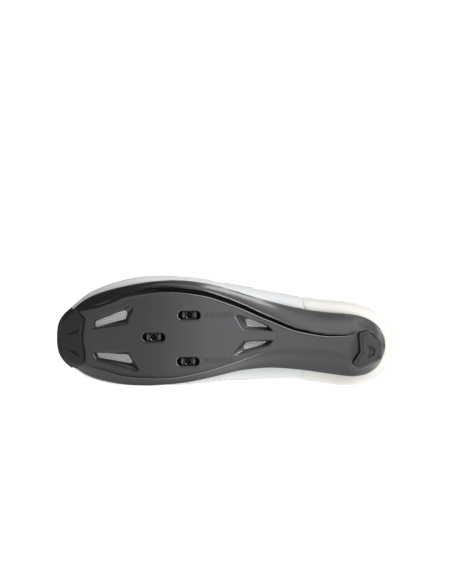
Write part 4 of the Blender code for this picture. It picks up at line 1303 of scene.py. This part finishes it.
def dentCutter(corners):
    # a wedge whose floor sinks from its tip to its wide end
    wedge = [Vector(metres(*corner)) for corner in corners]
    face, depth = shoe["softGap"] + bumper["wall"], bumper["dentDepth"]

    def level(rises):
        return [Vector((p.x, underside(p.x, p.y) - face + rise, p.y)) for p, rise in zip(wedge, rises)]

    floor = level([bumper["dentTip"], depth, depth * bumper["dentSlant"]])
    return faceOut(skinOver([level([bumper["dentBelow"]] * 3), floor]))


def makeBumper():
    obj = meshObject("toe_bumper_rubber", faceOut(skinOver(bumperRings())))
    cutFrom(obj, [dentCutter(corners) for corners in bumper["dents"]])
    finishPiece(obj, "bumper", ["toe_bumper"], sharp=32)


makeBumper()
print("bumper made")


# Upper: the outer shell and its lining

def wallGrid():
    columns, rows = upper["columns"], upper["rows"]

    def at(i, j):
        # from the heel along the medial side to the toe, and back along the lateral side
        i = i % (2 * columns)
        return wallPoint(-1 if i <= columns else 1, unspread(abs(1.0 - i / columns)), j / rows)

    bm = gridThrough(2 * columns, rows, at)
    bmesh.ops.remove_doubles(bm, verts=bm.verts, dist=1e-6)
    bmesh.ops.recalc_face_normals(bm, faces=bm.faces)
    outer = max(bm.faces, key=lambda f: f.calc_center_median().x)
    if outer.normal.x < 0.0:
        bmesh.ops.reverse_faces(bm, faces=bm.faces)
    bm.normal_update()
    return bm


def solidifyPiece(obj, thickness):
    wall = obj.modifiers.new("wall", "SOLIDIFY")
    wall.thickness = thickness
    wall.offset = -1.0
    wall.use_even_offset = True
    applyModifiers(obj)


def makeUpper():
    shell = meshObject("upper_shell", wallGrid())
    solidifyPiece(shell, upper["shell"])
    finishPiece(shell, "upper", ["upper"])
    bm = wallGrid()
    for vert in bm.verts:
        vert.co -= vert.normal * (upper["shell"] + upper["liningGap"])
    lining = meshObject("upper_lining", bm)
    solidifyPiece(lining, upper["wall"] - upper["shell"] - upper["liningSlack"])
    finishPiece(lining, "lining")


makeUpper()
print("upper made")

# Heel counter: the film round the heel, laid on the wall between two heights
counter = {
    "front": 0.745,
    "low": 0.03,
    "high": 0.73,
    "wall": 0.0010,
    "lean": 0.16,
    "cornerFrom": 0.55,
    "lowCorner": 0.5,
    "endFade": 14.0,
    "edgeFade": 7.0,
    "thinnest": 0.25,
    "columns": 90,
    "rows": 36,
}


def makeCounter():
    front, thinnest = spread(counter["front"]), counter["thinnest"]

    def at(i, j, lift):
        t = 2.0 * i / counter["columns"] - 1.0
        up = 2.0 * j / counter["rows"] - 1.0
        height = counter["low"] + (counter["high"] - counter["low"]) * j / counter["rows"]
        # the front edge leans back and its corners are rounded
        corner = max(0.0, abs(up) - counter["cornerFrom"]) / (1.0 - counter["cornerFrom"])
        corner *= 1.0 if up > 0.0 else counter["lowCorner"]
        place = 1.0 - (1.0 - front) * abs(t) * (1.0 - counter["lean"] * corner ** 2)
        side = -1 if t < 0.0 else 1
        edge = min((1.0 - abs(t)) * counter["endFade"], (1.0 - abs(up)) * counter["edgeFade"], 1.0)
        outside = shoe["gap"] + counter["wall"] * (thinnest + (1.0 - thinnest) * math.sqrt(ease(edge)))
        away = outside if lift else shoe["gap"] * 0.5
        return wallPoint(side, unspread(place), height) + wallNormal(side, place, height) * away

    bm = closedPlate(counter["columns"], counter["rows"], at)
    addPiece("heel_counter_film", bm, "counter", ["heel_counter"])


makeCounter()

# Tongue, straps and insole
tongue = {"front": 0.336, "top": 0.628, "tuck": 0.24, "gap": 0.0012, "wall": 0.0036, "thinnest": 0.15,
          "fade": 0.10, "columns": 60, "rows": 40}
strap = {"middles": {"strap_front": 0.425, "strap_rear": 0.545}, "width": 0.0240, "wall": 0.0016,
         "lift": 0.0002, "from": -1.42, "to": 1.62, "thinnest": 0.08, "fade": 0.03, "columns": 18, "rows": 90}
insole = {"wall": 0.0030, "margin": 0.0064, "endMargin": 0.03, "columns": 80, "rows": 24}


def girthPlate(plate, spot, inner, outer, laid=False):
    # a closed plate between two offsets of the upper's surface, thinner towards its edges, or flat underneath
    def at(i, j, lift):
        u, v = i / plate["columns"], j / plate["rows"]
        station, place = spot(u, v)
        rim = min(u, 1.0 - u, v, 1.0 - v)
        swell = plate["thinnest"] + (1.0 - plate["thinnest"]) * math.sqrt(ease(rim / plate["fade"]))
        share = 0.5 + 0.5 * swell if lift else 0.5 - 0.5 * swell
        if laid:
            share = swell if lift else 0.0
        return girthPoint(station, place) + girthNormal(station, place) * (inner + (outer - inner) * share)

    return closedPlate(plate["columns"], plate["rows"], at)


def makeTongue():
    tuck, length = 1.0 + tongue["tuck"], tongue["top"] - tongue["front"]
    outer = -(upper["wall"] + tongue["gap"])
    bm = girthPlate(tongue, lambda u, v: (tongue["front"] + length * u, tuck * (2.0 * v - 1.0)),
                    outer - tongue["wall"], outer)
    obj = addPiece("tongue_pad", bm, "lining", ["tongue"])


def makeStraps():
    half, length = strap["width"] / 2 / shoe["length"], strap["to"] - strap["from"]
    for name, middle in strap["middles"].items():
        bm = girthPlate(strap, lambda u, v: (middle + half * (2.0 * u - 1.0), strap["from"] + length * v),
                        strap["lift"], strap["lift"] + strap["wall"], laid=True)
        addPiece(name + "_band", bm, "strap", [name])


def makeInsole():
    margin = insole["endMargin"]

    def at(i, j, lift):
        station = unspread(margin + (1.0 - 2.0 * margin) * i / insole["columns"])
        medial, lateral = [edgeOf(side, station, insole["margin"])[0] for side in (-1, 1)]
        p = medial.lerp(lateral, j / insole["rows"])
        return Vector((p.x, bed(p.x, p.y) + shoe["softGap"] + (insole["wall"] if lift else 0.0), p.y))

    bm = closedPlate(insole["columns"], insole["rows"], at)
    addPiece("insole_board", bm, "insole", ["insole"])


makeTongue()
makeStraps()
makeInsole()
print("tongue, straps and insole made")

# Seams and pinholes on the upper: each wall seam's height, and the stations where it starts and ends
stitch = {"length": 0.0024, "gap": 0.0010, "radius": 0.00026, "lift": 0.00008, "points": 160,
          "seams": ((0.965, 0.36, 0.998), (0.925, 0.36, 0.620)), "strapSeams": (-0.82, 0.82),
          "strapEnds": 0.04}
pinholes = {"stations": (0.47, 0.60), "heights": (0.17, 0.25), "count": 9, "radius": 0.00042,
            "depth": 0.00016}


def addStitches(bm, path):
    # capsules laid end to end along a path of (point, outward direction)
    travelled, due = 0.0, 0.0
    for (a, outA), (b, _) in zip(path, path[1:]):
        step = (b - a).length
        if step < 1e-7:
            continue
        along = (b - a) / step
        while due <= travelled + step:
            spot = a + along * (due - travelled)
            up = (outA - along * outA.dot(along)).normalized()
            turn = Matrix((along, up, along.cross(up))).transposed().to_4x4()
            made = bmesh.ops.create_uvsphere(bm, u_segments=6, v_segments=5, radius=1.0)["verts"]
            size = Matrix.Diagonal((stitch["length"] / 2, stitch["radius"], stitch["radius"], 1.0))
            matrix = Matrix.Translation(spot + up * stitch["lift"]) @ turn @ size
            bmesh.ops.transform(bm, matrix=matrix, verts=made)
            due += stitch["length"] + stitch["gap"]
        travelled += step


def wallPath(side, height, first, last):
    path = []
    for k in range(stitch["points"] + 1):
        place = spread(first) + (spread(last) - spread(first)) * k / stitch["points"]
        path.append((wallPoint(side, unspread(place), height), wallNormal(side, place, height)))
    return path


def strapPath(station):
    start = strap["from"] + stitch["strapEnds"]
    length = strap["to"] - strap["from"] - 2.0 * stitch["strapEnds"]
    path = []
    for k in range(stitch["points"] + 1):
        place = start + length * k / stitch["points"]
        normal = girthNormal(station, place)
        path.append((girthPoint(station, place) + normal * (strap["lift"] + strap["wall"]), normal))
    return path


def makeStitches():
    bm = bmesh.new()
    for side in (-1, 1):
        for seam in stitch["seams"]:
            addStitches(bm, wallPath(side, *seam))
    half = strap["width"] / 2 / shoe["length"]
    for middle in strap["middles"].values():
        for share in stitch["strapSeams"]:
            addStitches(bm, strapPath(middle + half * share))
    addPiece("upper_stitches", bm, "thread")


def makePinholes():
    # painted shade: small dark rubber discs along the lower edge of the arch side stand for the pinholes
    bm = bmesh.new()
    low, high = pinholes["stations"]
    near, far = pinholes["heights"]
    for k in range(pinholes["count"]):
        station = low + (high - low) * k / (pinholes["count"] - 1)
        height = near + (far - near) * k / (pinholes["count"] - 1)
        normal = wallNormal(-1, spread(station), height)
        turn = normal.to_track_quat("Z", "Y").to_matrix().to_4x4()
        made = bmesh.ops.create_cone(bm, cap_ends=True, segments=12, radius1=pinholes["radius"],
                                     radius2=pinholes["radius"], depth=pinholes["depth"])["verts"]
        bmesh.ops.transform(bm, matrix=Matrix.Translation(wallPoint(-1, station, height)) @ turn, verts=made)
    addPiece("upper_pinholes", bm, "pad")


makeStitches()
makePinholes()
print("stitches and pinholes made")


# Floor, light and camera

studio = {
    "floorWhite": "#b8b8b8",
    "worldWhite": "#ffffff",
    "worldStrength": 0.10,
    "floorSeen": (0.80, 1.0),
    "floorGlow": 0.70,
    "glowFrom": 0.25,
    "glowTo": 1.3,
    "floorSize": (5.0, 4.0),
    "sweepRadius": 0.8,
    "wallHeight": 3.0,
    "distance": 2.20,
    "pixelSize": 0.0008145,
    "pictureHeight": 584,
    "soleSpot": (0.137, 0.0, 0.0384),  # on the shoe's ground plane, which the pixel size is measured in
    "cameraX": -0.0003,
    "cameraZ": 0.0200,
    "targetZ": 0.0764,
}
lights = {
    "heel_softbox": {"spot": (0.75, -0.55, 0.70), "target": (0.0, -0.03, 0.04), "size": (0.5, 0.5),
                     "power": 10.0},
    "top_softbox": {"spot": (-0.15, -0.05, 1.3), "target": (0.0, 0.0, 0.05), "size": (1.4, 0.8),
                    "power": 5.0},
}


def makeStage():
    bm = bmesh.new()
    bmesh.ops.create_grid(bm, x_segments=1, y_segments=1, size=1.0)
    wide, deep = studio["floorSize"]
    radius, near = studio["sweepRadius"], 0.01
    bmesh.ops.scale(bm, vec=(wide, deep, 1.0), verts=bm.verts)
    back = [e for e in bm.edges if all(v.co.y > deep - near for v in e.verts)]
    bmesh.ops.spin(bm, geom=back, cent=(0.0, deep, radius), axis=(1.0, 0.0, 0.0), angle=math.radians(90),
                   steps=16)
    top = [e for e in bm.edges if all(v.co.z > radius - near for v in e.verts)]
    found = bmesh.ops.extrude_edge_only(bm, edges=top)["geom"]
    raisedVerts = [v for v in found if isinstance(v, bmesh.types.BMVert)]
    bmesh.ops.translate(bm, vec=(0.0, 0.0, studio["wallHeight"]), verts=raisedVerts)
    bmesh.ops.recalc_face_normals(bm, faces=bm.faces)
    sweep = linkMesh("studio_sweep", bm)
    paper, tree, shader, spot = newSurface("backdropPaper", {"Roughness": 0.9})
    shader.inputs["Base Color"].default_value = hexColour(studio["floorWhite"])
    shader.inputs["Specular IOR Level"].default_value = 0.1
    shader.inputs["Emission Color"].default_value = hexColour(studio["worldWhite"])
    away = addNode(tree, "ShaderNodeVectorMath", {"operation": "LENGTH"}, {0: (spot, "Object")})
    near, far = studio["floorSeen"]
    seen = addNode(tree, "ShaderNodeMapRange", {1: studio["glowFrom"], 2: studio["glowTo"], 3: near, 4: far},
                   {0: (away, "Value")})
    rays = addNode(tree, "ShaderNodeLightPath")
    glow = addNode(tree, "ShaderNodeMapRange", {3: studio["floorGlow"]}, {0: (rays, 0), 4: (seen, 0)})
    tree.links.new(glow.outputs[0], shader.inputs["Emission Strength"])
    sweep.data.materials.append(paper)
    sweep.data.shade_smooth()


def addLight(name, light):
    data = bpy.data.lights.new(name, "AREA")
    data.shape = "RECTANGLE"
    data.size, data.size_y = light["size"]
    data.energy = light["power"]
    obj = bpy.data.objects.new(name, data)
    obj.location = light["spot"]
    aim = Vector(light["target"]) - Vector(light["spot"])
    obj.rotation_euler = aim.to_track_quat("-Z", "Y").to_euler()
    bpy.context.scene.collection.objects.link(obj)


makeStage()
for name, light in lights.items():
    addLight(name, light)
world = bpy.data.worlds.new("studio")
bpy.context.scene.world = world
world.use_nodes = True
backdrop = world.node_tree.nodes["Background"]
backdrop.inputs["Color"].default_value = hexColour(studio["worldWhite"])
backdrop.inputs["Strength"].default_value = studio["worldStrength"]
bpy.context.scene.view_settings.view_transform = "Standard"

solePlane = (pose @ Vector(studio["soleSpot"])).y
camera = bpy.data.cameras.new("camera")
camera.lens = camera.sensor_width * studio["distance"] / (studio["pixelSize"] * studio["pictureHeight"])
cameraObj = bpy.data.objects.new("camera", camera)
cameraSpot = Vector((studio["cameraX"], solePlane - studio["distance"], studio["cameraZ"]))
cameraObj.location = cameraSpot
aim = Vector((studio["cameraX"], solePlane, studio["targetZ"])) - cameraSpot
cameraObj.rotation_euler = aim.to_track_quat("-Z", "Y").to_euler()
bpy.context.scene.collection.objects.link(cameraObj)
bpy.context.scene.camera = cameraObj
print("stage, lights and camera made")

bpy.context.view_layer.update()
